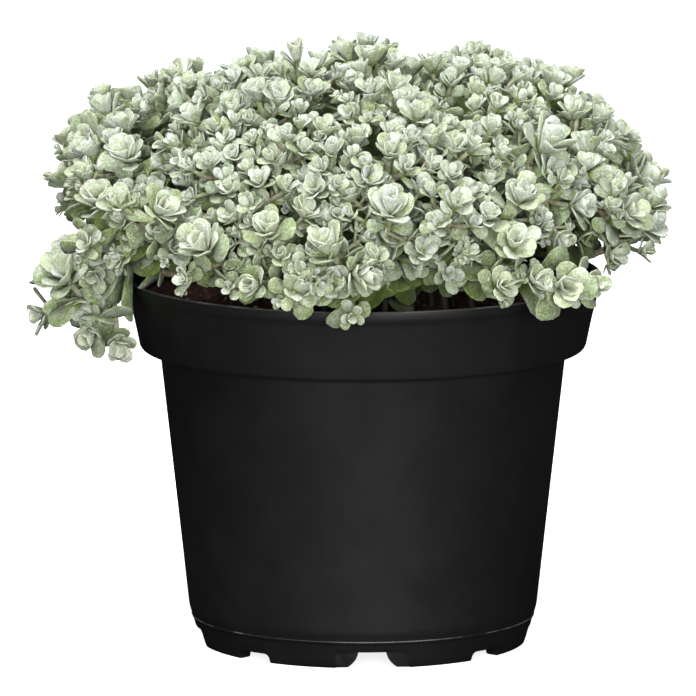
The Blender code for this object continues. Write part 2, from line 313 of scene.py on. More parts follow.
@dataclass
class GrowthTree(NodeSheet):
    """A Geometry Nodes tree with named inputs."""

    group_in: Any = None
    group_out: Any = None
    identifiers: dict[str, str] = field(default_factory=dict)

    @classmethod
    def named(cls, name: str) -> "GrowthTree":
        """A new tree with a geometry input and output.

        Args:
            name: the tree's name.

        Returns:
            The tree, ready for nodes.
        """
        tree = bpy.data.node_groups.new(name, "GeometryNodeTree")
        made = cls(tree)
        tree.interface.new_socket("Geometry", in_out="INPUT", socket_type="NodeSocketGeometry")
        tree.interface.new_socket("Geometry", in_out="OUTPUT", socket_type="NodeSocketGeometry")
        made.group_in = tree.nodes.new("NodeGroupInput")
        made.group_out = tree.nodes.new("NodeGroupOutput")
        return made

    def takes(self, name: str, kind: str, value: Any = None) -> Socket:
        """Adds a named input.

        Args:
            name: the input's name.
            kind: its socket type, without the NodeSocket in front.
            value: its default.

        Returns:
            The socket that gives the input inside the tree.
        """
        socket = self.tree.interface.new_socket(name, in_out="INPUT", socket_type=f"NodeSocket{kind}")
        if value is not None:
            socket.default_value = value
        self.identifiers[name] = socket.identifier
        return next(out for out in self.group_in.outputs if out.identifier == socket.identifier)

    def attribute(self, name: str, kind: str = "FLOAT") -> Socket:
        """The named attribute of the geometry that passes through."""
        node = self.add("GeometryNodeInputNamedAttribute", {"Name": name}, data_type=kind)
        return self.out(node, "Attribute")

    def chance(self, low: Any, high: Any, seed: Any, salt: int) -> Socket:
        """A random number for each element.

        Args:
            low: the least it is.
            high: the most it is.
            seed: the tree's seed.
            salt: keeps this draw apart from the tree's others.

        Returns:
            The random value.
        """
        mixed = self.plus(seed, float(salt))
        values = {"Min": low, "Max": high, "Seed": mixed}
        return self.out(self.add("FunctionNodeRandomValue", values, data_type="FLOAT"), "Value")

    def keep(self, geometry: Socket, name: str, value: Socket) -> Socket:
        """Stores a number on every point.

        Args:
            geometry: the points.
            name: the attribute's name.
            value: the number.

        Returns:
            The points with the attribute.
        """
        values = {"Geometry": geometry, "Name": name, "Value": value}
        node = self.add("GeometryNodeStoreNamedAttribute", values, data_type="FLOAT", domain="POINT")
        return node.outputs[0]

    def strew(self, stock: Socket, values: dict[str, Any]) -> Socket:
        """Puts one shape of a stock on every point.

        Args:
            stock: the collection of shapes.
            values: the points, and how each shape is picked, turned and scaled.

        Returns:
            The placed shapes.
        """
        apart = {"Collection": stock, "Separate Children": True, "Reset Children": True}
        shapes = self.add("GeometryNodeCollectionInfo", apart)
        placed = {"Instance": shapes.outputs[0], "Pick Instance": True, **values}
        return self.add("GeometryNodeInstanceOnPoints", placed).outputs[0]

    def finish(self, geometry: Socket, material: Socket) -> None:
        """Ends the tree in Realize Instances and Set Material.

        Args:
            geometry: what the tree has made.
            material: the material input.
        """
        smooth = self.add("GeometryNodeSetShadeSmooth", {"Geometry": geometry})
        real = self.add("GeometryNodeRealizeInstances", {"Geometry": smooth.outputs[0]})
        dressed = self.add("GeometryNodeSetMaterial", {"Geometry": real.outputs[0], "Material": material})
        self.tree.links.new(dressed.outputs[0], self.group_out.inputs[0])

    def grow(self, seedling: Item, values: dict[str, Any], name: str) -> Item:
        """Runs the tree on an object and keeps the result as a plain mesh.

        Args:
            seedling: the object the tree starts from; it is removed afterwards.
            values: the tree's inputs by name.
            name: the finished piece's name.

        Returns:
            The finished piece, at the origin.
        """
        step = seedling.modifiers.new("growth", "NODES")
        step.node_group = self.tree
        for key, value in values.items():
            step[self.identifiers[key]] = value
        return Workshop.baked(seedling, name)


# --- Workshop: meshes and objects ---


class Workshop:
    """Small jobs that every sub-assembly needs."""

    @staticmethod
    def mesh_of(name: str, shape: bmesh.types.BMesh) -> bpy.types.Mesh:
        """Keeps a shape as a mesh and frees it.

        Args:
            name: the mesh's name.
            shape: the shape.

        Returns:
            The mesh.
        """
        mesh = bpy.data.meshes.new(name)
        shape.to_mesh(mesh)
        shape.free()
        return mesh

    @staticmethod
    def object_of(name: str, mesh: bpy.types.Mesh) -> Item:
        """A new object in the scene, at the origin.

        Args:
            name: the object's name.
            mesh: its mesh.

        Returns:
            The object.
        """
        made = bpy.data.objects.new(name, mesh)
        bpy.context.scene.collection.objects.link(made)
        return made

    @staticmethod
    def baked(source: Item, name: str) -> Item:
        """Turns an object and its modifiers into a plain mesh.

        Args:
            source: the object with its modifiers; it is removed afterwards.
            name: the new object's name.

        Returns:
            A new object without modifiers, with its place in its mesh.
        """
        bpy.context.view_layer.update()
        graph = bpy.context.evaluated_depsgraph_get()
        finished = source.evaluated_get(graph)
        mesh = bpy.data.meshes.new_from_object(finished, preserve_all_data_layers=True, depsgraph=graph)
        mesh.transform(source.matrix_world)
        mesh.name = name
        bpy.data.objects.remove(source, do_unlink=True)
        return Workshop.object_of(name, mesh)

    @staticmethod
    def smooth(mesh: bpy.types.Mesh) -> None:
        """Shades every face smooth."""
        mesh.polygons.foreach_set("use_smooth", [True] * len(mesh.polygons))

    @staticmethod
    def dress(piece: Item, material: bpy.types.Material) -> None:
        """Gives a piece this material and no other."""
        piece.data.materials.clear()
        piece.data.materials.append(material)

    @staticmethod
    def store(mesh: bpy.types.Mesh, name: str, kind: str, values: Sequence[Any]) -> None:
        """Writes a point attribute.

        Args:
            mesh: the mesh that gets it.
            name: the attribute's name.
            kind: FLOAT, INT or FLOAT_VECTOR.
            values: one value for each vertex.
        """
        layer = mesh.attributes.new(name, kind, "POINT")
        key = "vector" if kind == "FLOAT_VECTOR" else "value"
        layer.data.foreach_set(key, np.array(values, float).ravel() if kind != "INT" else list(values))

    @staticmethod
    def present(piece: Item, kind: PieceKind, nodes: Sequence[str] = ()) -> None:
        """Hands a finished piece to the frame.

        Args:
            piece: the finished piece.
            kind: not used.
            nodes: the CAD nodes that it stands for.
        """
        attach(piece, ROOT)
        if nodes:
            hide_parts(*nodes)
        stood_for = ", ".join(nodes) or "nothing"
        LOG.info("%s: %d faces, stands for %s", piece.name, len(piece.data.polygons), stood_for)


@dataclass(frozen=True)
class Corner:
    """A corner of a turned profile, in mm: radius, height and how far it is rounded."""

    radius: float
    height: float
    rounding: float = 0.0


@dataclass
class TurnedSolid:
    """A closed solid spun from a profile with rounded corners."""

    corners: Sequence[Corner]
    steps: int = 180
    arc_steps: int = 4

    def outline(self) -> list[tuple[float, float]]:
        """Rounds the profile's corners.

        Returns:
            The profile as radius and height pairs, in mm.
        """
        points: list[tuple[float, float]] = []
        for i, corner in enumerate(self.corners):
            here = Vector((corner.radius, corner.height))
            if corner.rounding <= 0 or i in (0, len(self.corners) - 1):
                points.append((here.x, here.y))
                continue
            before, after = self.corners[i - 1], self.corners[i + 1]
            back = Vector((before.radius, before.height)) - here
            ahead = Vector((after.radius, after.height)) - here
            reach = min(corner.rounding, back.length * 0.48, ahead.length * 0.48)
            start, end = here + back.normalized() * reach, here + ahead.normalized() * reach
            for k in range(self.arc_steps + 1):
                share = k / self.arc_steps
                spot = start * (1 - share) ** 2 + here * 2 * share * (1 - share) + end * share ** 2
                points.append((spot.x, spot.y))
        return points

    def build(self, name: str, axis: Vector) -> Item:
        """Spins the profile.

        Args:
            name: the object's name.
            axis: where the spin axis stands, in metres.

        Returns:
            An object with a live Screw modifier, placed on the axis.
        """
        points = self.outline()
        mesh = bpy.data.meshes.new(name)
        mesh.from_pydata(
            [(radius * MM, 0.0, height * MM) for radius, height in points],
            [(i, i + 1) for i in range(len(points) - 1)],
            [],
        )
        item = Workshop.object_of(name, mesh)
        item.location = (axis.x, axis.y, 0.0)
        spin = item.modifiers.new("spin", "SCREW")
        spin.axis = "Z"
        spin.steps = self.steps
        spin.render_steps = self.steps
        spin.use_merge_vertices = True
        spin.merge_threshold = 0.00002
        spin.use_smooth_shade = True
        return item


# --- Finishes ---


@dataclass(frozen=True)
class PotPlastic:
    """Black injection-moulded plastic with a soft satin skin."""

    colour: Colour = (0.0072, 0.0073, 0.0074)
    worn: Colour = (0.0112, 0.0112, 0.0114)
    # grey painted along the rim's top edge and the foot ledge as a highlight line
    painted_highlight: Colour = (0.13, 0.13, 0.129)
    roughness: float = 0.44
    rim_height: float = 0.101
    ledge_height: float = 0.00762
    skin_grain: float = 5200.0

    def material(self) -> bpy.types.Material:
        """Mixes the plastic: a fine skin grain, cloudy sheen, faint rub marks and painted highlight lines on
        the rim's top edge and on the small ledge above the foot ring.

        Returns:
            The material.
        """
        sheet = FinishSheet.named("pot_plastic")
        place = sheet.place
        clouds = sheet.noise(55.0, 4.0, 0.6, place)
        grain = sheet.noise(self.skin_grain, 2.0, 0.5, place)
        streaks = sheet.noise(140.0, 5.0, 0.7, sheet.stretched(place, (1.0, 1.0, 9.0)))
        rubbed = sheet.remap(streaks, 0.60, 0.78, 0.0, 0.55)
        colour = sheet.blend(rubbed, self.colour, self.worn)
        colour = sheet.blend(sheet.remap(clouds, 0.35, 0.7, 0.0, 0.18), colour, self.worn)
        height = sheet.add("ShaderNodeSeparateXYZ", {0: place}).outputs[2]
        # painted highlight: a thin light line along the rounded top edge of the rim, broken up by the streaks
        lip = sheet.remap(height, self.rim_height - 0.0005, self.rim_height - 0.0002)
        lip = sheet.times(lip, sheet.remap(streaks, 0.30, 0.62, 0.25, 1.0))
        colour = sheet.blend(sheet.times(lip, 0.8), colour, self.painted_highlight)
        # painted highlight: a thin light line in patches along the small ledge where the wall meets the foot
        # ring
        off = sheet.math("ABSOLUTE", sheet.minus(height, self.ledge_height))
        patchy = sheet.remap(clouds, 0.48, 0.60, 0.0, 0.7)
        ledge_highlight = sheet.times(sheet.remap(off, 0.00018, 0.00006), patchy)
        colour = sheet.blend(ledge_highlight, colour, self.painted_highlight)
        rough = sheet.plus(sheet.remap(clouds, 0.3, 0.7, -0.05, 0.06), self.roughness)
        rough = sheet.plus(rough, sheet.remap(grain, 0.3, 0.7, -0.04, 0.04))
        sheet.dress({"Base Color": colour, "Roughness": rough, "Specular IOR Level": 0.24})
        sheet.emboss(0.12, 0.00008, grain)
        return sheet.made


@dataclass(frozen=True)
class PeatCrumb:
    """Dark moist peat: brown-black, with redder fibres and a few pale grains."""

    dark: Colour = (0.0085, 0.0042, 0.0028)
    brown: Colour = (0.085, 0.034, 0.021)
    pale: Colour = (0.26, 0.20, 0.15)

    def material(self) -> bpy.types.Material:
        """Mixes the peat; loose crumbs and fibres take their colour from their own tint.

        Returns:
            The material.
        """
        sheet = FinishSheet.named("peat_crumb")
        place = sheet.place
        tint = sheet.own("tint")
        clods = sheet.noise(260.0, 6.0, 0.7, place)
        grit = sheet.noise(1500.0, 3.0, 0.6, place)
        mixed = sheet.plus(sheet.times(clods, 0.55), sheet.times(tint, 0.6))
        colour = sheet.blend(sheet.remap(mixed, 0.25, 0.85), self.dark, self.brown)
        speck = sheet.times(sheet.remap(grit, 0.60, 0.70), 0.60)
        colour = sheet.blend(speck, colour, self.brown)
        colour = sheet.blend(sheet.remap(tint, 0.955, 0.985), colour, self.pale)
        rough = sheet.remap(clods, 0.3, 0.7, 0.72, 0.95)
        sheet.dress({"Base Color": colour, "Roughness": rough, "Specular IOR Level": 0.3})
        sheet.emboss(0.7, 0.0004, grit)
        return sheet.made


@dataclass(frozen=True)
class LeafSkin:
    """A fleshy leaf: green flesh under a powdery white bloom that old leaves lose."""

    flesh_young: Colour = (0.27, 0.35, 0.145)
    flesh_old: Colour = (0.148, 0.222, 0.060)
    bloom: Colour = (0.580, 0.615, 0.530)
    bloom_cool: Colour = (0.552, 0.592, 0.566)
    root_end: Colour = (0.33, 0.40, 0.10)
    rim: Colour = (0.68, 0.71, 0.60)
    # dark edge colour: partly a browned leaf margin, partly painted shadow standing in for the dark lines
    # where leaves overlap
    browned_rim_and_shadow: Colour = (0.20, 0.195, 0.135)

    def material(self) -> bpy.types.Material:
        """Mixes the leaf skin, driven by each leaf's own age, tint and place along and across it, with
        painted shade at the leaf bases, deep in the cushion and along some leaf edges.

        Returns:
            The material.
        """
        sheet = FinishSheet.named("leaf_skin")
        place = sheet.place
        age, tint, own, depth = (sheet.own(name) for name in ("age", "tint", "shade", "depth"))
        along, across = sheet.own("along"), sheet.own("across")
        edge = sheet.math("ABSOLUTE", across)
        patches = sheet.noise(330.0, 4.0, 0.6, place)
        powder = sheet.noise(1500.0, 4.0, 0.65, place)
        flesh = sheet.blend(sheet.remap(age, 0.35, 1.25), self.flesh_young, self.flesh_old)
        flesh = sheet.blend(sheet.remap(along, 0.42, 0.02, 0.0, 0.8), flesh, self.root_end)
        frost = sheet.blend(tint, self.bloom, self.bloom_cool)
        cover = sheet.remap(age, 0.35, 1.50, 1.0, 0.28)
        cover = sheet.plus(cover, sheet.remap(patches, 0.3, 0.72, -0.26, 0.16))
        cover = sheet.plus(cover, sheet.remap(powder, 0.3, 0.7, -0.36, 0.22))
        cover = sheet.plus(cover, sheet.remap(edge, 0.72, 1.0, 0.0, 0.14))
        cover = sheet.minus(cover, sheet.remap(along, 0.4, 0.0, 0.0, 0.60))
        cover = sheet.math("SUBTRACT", cover, sheet.remap(depth, 0.2, 1.0, 0.0, 0.12), clamp=True)
        colour = sheet.blend(cover, flesh, frost)
        outer_half = sheet.remap(along, 0.2, 0.6, 0.0, 0.28)
        thin_rim = sheet.times(sheet.remap(edge, 0.86, 1.0), outer_half)
        colour = sheet.blend(thin_rim, colour, self.rim)
        # dark rim towards the tip on about a third of the leaves: partly browned margin, partly painted
        # shadow for the lines where leaves overlap
        worn = sheet.times(sheet.remap(edge, 0.84, 1.0), sheet.remap(along, 0.45, 0.9, 0.0, 0.60))
        worn = sheet.times(worn, sheet.remap(own, 0.35, 0.65))
        colour = sheet.blend(worn, colour, self.browned_rim_and_shadow)
        shade = sheet.remap(own, 0.0, 1.0, 0.88, 1.05)
        # painted shade: leaves further down the stems, inside the cushion, are darkened to as little as 0.22
        shade = sheet.times(shade, sheet.remap(depth, 0.12, 1.0, 1.0, 0.22))
        spread = enumerate(((across, 4.5), (along, 2.2), (own, 60.0)))
        grid = {k: sheet.times(value, times) for k, (value, times) in spread}
        wrinkles = sheet.noise(1.7, 4.0, 0.65, sheet.add("ShaderNodeCombineXYZ", grid).outputs[0])
        shade = sheet.times(shade, sheet.remap(wrinkles, 0.3, 0.7, 0.84, 1.14))
        speckle = sheet.noise(2300.0, 3.0, 0.7, place)
        shade = sheet.times(shade, sheet.remap(speckle, 0.32, 0.68, 0.80, 1.16))
        # painted shade: each leaf darkens towards its base, where it sits in the crease of the rosette
        shade = sheet.times(shade, sheet.remap(along, 0.42, 0.05, 1.0, 0.30))
        # the shade multiplier, random tone and painted shade alike, darkens blue most, so shaded parts turn
        # greener
        greener = {0: shade, 1: sheet.math("POWER", shade, 0.9), 2: sheet.math("POWER", shade, 2.1)}
        colour = sheet.blend(1.0, colour, sheet.add("ShaderNodeCombineColor", greener).outputs[0], "MULTIPLY")
        sheet.dress({
            "Base Color": colour, "Roughness": sheet.remap(cover, 0.2, 0.9, 0.55, 0.85),
            "Specular IOR Level": 0.14, "Subsurface Weight": 0.12, "Subsurface Radius": (0.9, 1.0, 0.7),
            "Subsurface Scale": 0.0006, "Sheen Weight": 0.22, "Sheen Roughness": 0.6,
            "Sheen Tint": (0.94, 1.0, 0.92, 1.0),
        })
        sheet.emboss(0.8, 0.00024, sheet.plus(powder, wrinkles))
        return sheet.made


@dataclass(frozen=True)
class StemSkin:
    """A pale stem, green under the rosettes and pinkish grey further down, going near-black towards its foot:
    old brown bark deepened by painted shade.
    """

    young: Colour = (0.27, 0.31, 0.16)
    # near-black foot of the stem: old brown bark darkened with painted shade from the foliage above the soil
    old: Colour = (0.018, 0.015, 0.009)
    blush: Colour = (0.255, 0.185, 0.145)
    bloom: Colour = (0.40, 0.43, 0.33)

    def material(self) -> bpy.types.Material:
        """Mixes the stem skin, driven by how far along the stem a point lies.

        Returns:
            The material.
        """
        sheet = FinishSheet.named("stem_skin")
        place = sheet.place
        along = sheet.own("along")
        patches = sheet.noise(520.0, 4.0, 0.6, place)
        youth = sheet.plus(along, sheet.remap(patches, 0.3, 0.7, -0.15, 0.15))
        colour = sheet.blend(sheet.remap(youth, 0.2, 0.95), self.old, self.young)
        middle = sheet.times(sheet.remap(along, 0.40, 0.65), sheet.remap(along, 1.0, 0.8))
        middle = sheet.times(middle, sheet.remap(patches, 0.3, 0.6, 0.25, 0.85))
        colour = sheet.blend(middle, colour, self.blush)
        frosted = sheet.remap(patches, 0.42, 0.7, 0.0, 0.7)
        frosted = sheet.times(frosted, sheet.remap(along, 0.35, 0.95))
        colour = sheet.blend(frosted, colour, self.bloom)
        sheet.dress({
            "Base Color": colour, "Roughness": sheet.remap(patches, 0.3, 0.7, 0.6, 0.8),
            "Specular IOR Level": 0.3, "Subsurface Weight": 0.08, "Subsurface Radius": (0.7, 0.9, 0.4),
            "Subsurface Scale": 0.0012,
        })
        sheet.emboss(0.3, 0.0002, patches)
        return sheet.made


@dataclass(frozen=True)
class StudioSurface:
    """Plain pale paper for the floor, which throws little light back at the pot."""

    colour: Colour = (0.93, 0.93, 0.93)
    thrown_back: Colour = (0.012, 0.012, 0.012)
    in_front: Colour = (0.13, 0.13, 0.13)
    greyer: Colour = (0.9, 0.9, 0.9)
    glow: float = 0.80

    def material(self) -> bpy.types.Material:
        """Mixes the paper: matt, with a barely seen tone.

        Returns:
            The material.
        """
        sheet = FinishSheet.named("studio_paper")
        place = sheet.place
        tone = sheet.remap(sheet.noise(3.0, 2.0, 0.5, place), 0.3, 0.7, 0.0, 0.03)
        seen = sheet.add("ShaderNodeLightPath").outputs["Is Camera Ray"]
        paper = sheet.blend(tone, self.colour, self.greyer)
        across, deep, _ = sheet.add("ShaderNodeSeparateXYZ", {0: place}).outputs
        near_middle = sheet.remap(sheet.math("ABSOLUTE", across), 0.6, 0.3)
        card = sheet.times(sheet.remap(deep, -0.09, -0.17), near_middle)
        mirrored = sheet.blend(card, self.thrown_back, self.in_front)
        sheet.dress({
            "Base Color": sheet.blend(seen, mirrored, paper), "Roughness": 0.9, "Specular IOR Level": 0.1,
            "Emission Color": (1.0, 1.0, 1.0, 1.0),
            "Emission Strength": sheet.times(seen, self.glow),
        })
        return sheet.made


# --- Pot ---


@dataclass
class NurseryPot:
    """The round container: lip, collar, tapered wall and notched foot ring. Sizes in mm."""

    node: str = "pot"
    inside: tuple[Corner, ...] = (
        Corner(0.0, 8.2), Corner(45.4, 8.2, 2.4), Corner(53.7, 81.9, 1.8), Corner(59.2, 83.9, 1.8),
        Corner(63.5, 100.7, 0.4), Corner(63.9, 101.0, 0.3),
    )
    rim_and_collar: tuple[Corner, ...] = (
        Corner(64.6, 101.0, 0.4), Corner(65.0, 100.5, 0.5), Corner(64.9, 98.6, 1.0), Corner(64.25, 97.2, 1.0),
        Corner(62.4, 90.0, 6.0), Corner(60.75, 82.0, 0.5), Corner(60.3, 81.3, 0.3),
    )
    wall: tuple[Corner, ...] = (
        Corner(55.3, 80.9, 0.7), Corner(47.35, 9.9, 1.8), Corner(46.6, 7.7, 0.15), Corner(46.75, 7.55, 0.08),
        Corner(46.7, 7.25, 0.15), Corner(46.3, 6.7, 0.5), Corner(44.95, 1.8, 0.6), Corner(44.3, 0.0, 0.4),
    )
    underside: tuple[Corner, ...] = (
        Corner(40.2, 0.0, 0.7), Corner(39.7, 6.8, 1.2), Corner(0.0, 6.8),
    )
    first_notch_turn: float = 3.4
    notches_of_each: int = 4
    wide_notch: tuple[float, float] = (20.2, 4.7)
    narrow_notch: tuple[float, float] = (11.0, 2.6)
    notch_circle: float = 42.5
    notch_depth: float = 14.0
    notch_corner: float = 1.3
    cheek_circle: float = 42.2
    cheek_gap: tuple[float, float] = (3.8, 6.7)
    cheek_flare: float = 2.4
    drains: int = 6
    drain_radius: float = 1.8
    drain_circle: float = 27.0
    drain_height: float = 7.5
    drain_depth: float = 6.0
    edge_softness: float = 0.28
    finish: PotPlastic = field(default_factory=PotPlastic)

    def axis(self) -> Vector:
        """The middle of the pot seen from above."""
        low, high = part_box(self.node)
        return Vector(((low.x + high.x) / 2, (low.y + high.y) / 2, 0.0))

    def rim_height(self) -> float:
        """How high the rim stands, in metres."""
        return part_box(self.node)[1].z

    def aim(self, turn: float) -> Vector:
        """The level direction this many degrees from the front towards +X."""
        angle = math.radians(turn)
        return Vector((math.sin(angle), -math.cos(angle), 0.0))

    def cutter(self, shape: bmesh.types.BMesh, place: Vector, turn: float) -> Item:
        """A cutting tool.

        Args:
            shape: its shape, round the origin.
            place: where it stands.
            turn: where it looks, in degrees from the front.

        Returns:
            The tool.
        """
        item = Workshop.object_of("cutter", Workshop.mesh_of("cutter", shape))
        item.location = place
        item.rotation_euler.z = math.radians(turn)
        return item

    def notch(self, turn: float, width: float, height: float, reach: float) -> Item:
        """A notch's cutter with rounded upper corners.

        Args:
            turn: where it looks, in degrees from the front.
            width: its width.
            height: its height above the pot's foot.
            reach: how far from the pot's axis its middle lies.

        Returns:
            The cutter.
        """
        shape = bmesh.new()
        bmesh.ops.create_cube(shape, size=1.0)
        bmesh.ops.scale(shape, vec=(width * MM, self.notch_depth * MM, 2 * height * MM), verts=shape.verts)
        upper = [edge for edge in shape.edges if all(corner.co.z > 0 for corner in edge.verts)]
        runs = [edge for edge in upper if abs(edge.verts[0].co.y - edge.verts[1].co.y) > 0.001]
        rounding = self.notch_corner * MM
        bmesh.ops.bevel(shape, geom=runs, offset=rounding, segments=5, profile=0.5, affect="EDGES")
        return self.cutter(shape, self.axis() + self.aim(turn) * reach * MM, turn)

    def flared_gap(self, turn: float, height: float) -> Item:
        """The cutter for the gap between a wide notch's two inner cheeks, which widens downwards.

        Args:
            turn: where it looks, in degrees from the front.
            height: its height above the pot's foot.

        Returns:
            The cutter.
        """
        narrow, wide = self.cheek_gap
        right = [(wide, -1.0)]
        for k in range(11):
            share = k / 10
            right.append((narrow + (wide - narrow) * (1 - share) ** self.cheek_flare, share * height))
        outline = right + [(-across, up) for across, up in reversed(right)]
        shape = bmesh.new()
        rings = [
            [shape.verts.new((across * MM, depth * MM, up * MM)) for across, up in outline]
            for depth in (-self.notch_depth / 2, self.notch_depth / 2)
        ]
        shape.faces.new(rings[0])
        shape.faces.new(list(reversed(rings[1])))
        for i in range(len(outline)):
            j = (i + 1) % len(outline)
            shape.faces.new((rings[0][j], rings[0][i], rings[1][i], rings[1][j]))
        bmesh.ops.recalc_face_normals(shape, faces=shape.faces)
        return self.cutter(shape, self.axis() + self.aim(turn) * self.notch_circle * MM, turn)

    def drain(self, turn: float) -> Item:
        """A drain hole's cutter.

        Args:
            turn: where the hole lies, in degrees from the front.

        Returns:
            The cutter.
        """
        shape = bmesh.new()
        radius, depth = self.drain_radius * MM, self.drain_depth * MM
        bmesh.ops.create_cone(
            shape, cap_ends=True, segments=32, radius1=radius, radius2=radius, depth=depth
        )
        place = self.axis() + self.aim(turn) * self.drain_circle * MM + Vector((0, 0, self.drain_height * MM))
        return self.cutter(shape, place, turn)

    def build(self) -> Item:
        """Moulds the pot and hands it over.

        Returns:
            The finished pot.
        """
        corners = self.inside + self.rim_and_collar + self.wall + self.underside
        pot = TurnedSolid(corners).build("nursery_pot", self.axis())
        cutters = []
        for number in range(self.notches_of_each):
            turn = self.first_notch_turn + number * 360 / self.notches_of_each
            cutters.append(self.notch(turn, *self.wide_notch, reach=self.cheek_circle + 7.0))
            cutters.append(self.flared_gap(turn, self.wide_notch[1]))
            between = turn + 180 / self.notches_of_each
            cutters.append(self.notch(between, *self.narrow_notch, reach=self.notch_circle))
        for number in range(self.drains):
            cutters.append(self.drain(self.first_notch_turn + (number + 0.5) * 360 / self.drains))
        for tool in cutters:
            step = pot.modifiers.new("cut", "BOOLEAN")
            step.operation = "DIFFERENCE"
            step.solver = "EXACT"
            step.object = tool
        soften = pot.modifiers.new("soften", "BEVEL")
        soften.width = self.edge_softness * MM
        soften.segments = 2
        soften.limit_method = "ANGLE"
        soften.angle_limit = math.radians(52)
        soften.harden_normals = False
        pot = Workshop.baked(pot, "nursery_pot")
        for tool in cutters:
            bpy.data.objects.remove(tool, do_unlink=True)
        Workshop.smooth(pot.data)
        pot.data.set_sharp_from_angle(angle=math.radians(48))
        Workshop.dress(pot, self.finish.material())
        Workshop.present(pot, PieceKind.POT, [self.node])
        return pot


# --- Peat ---


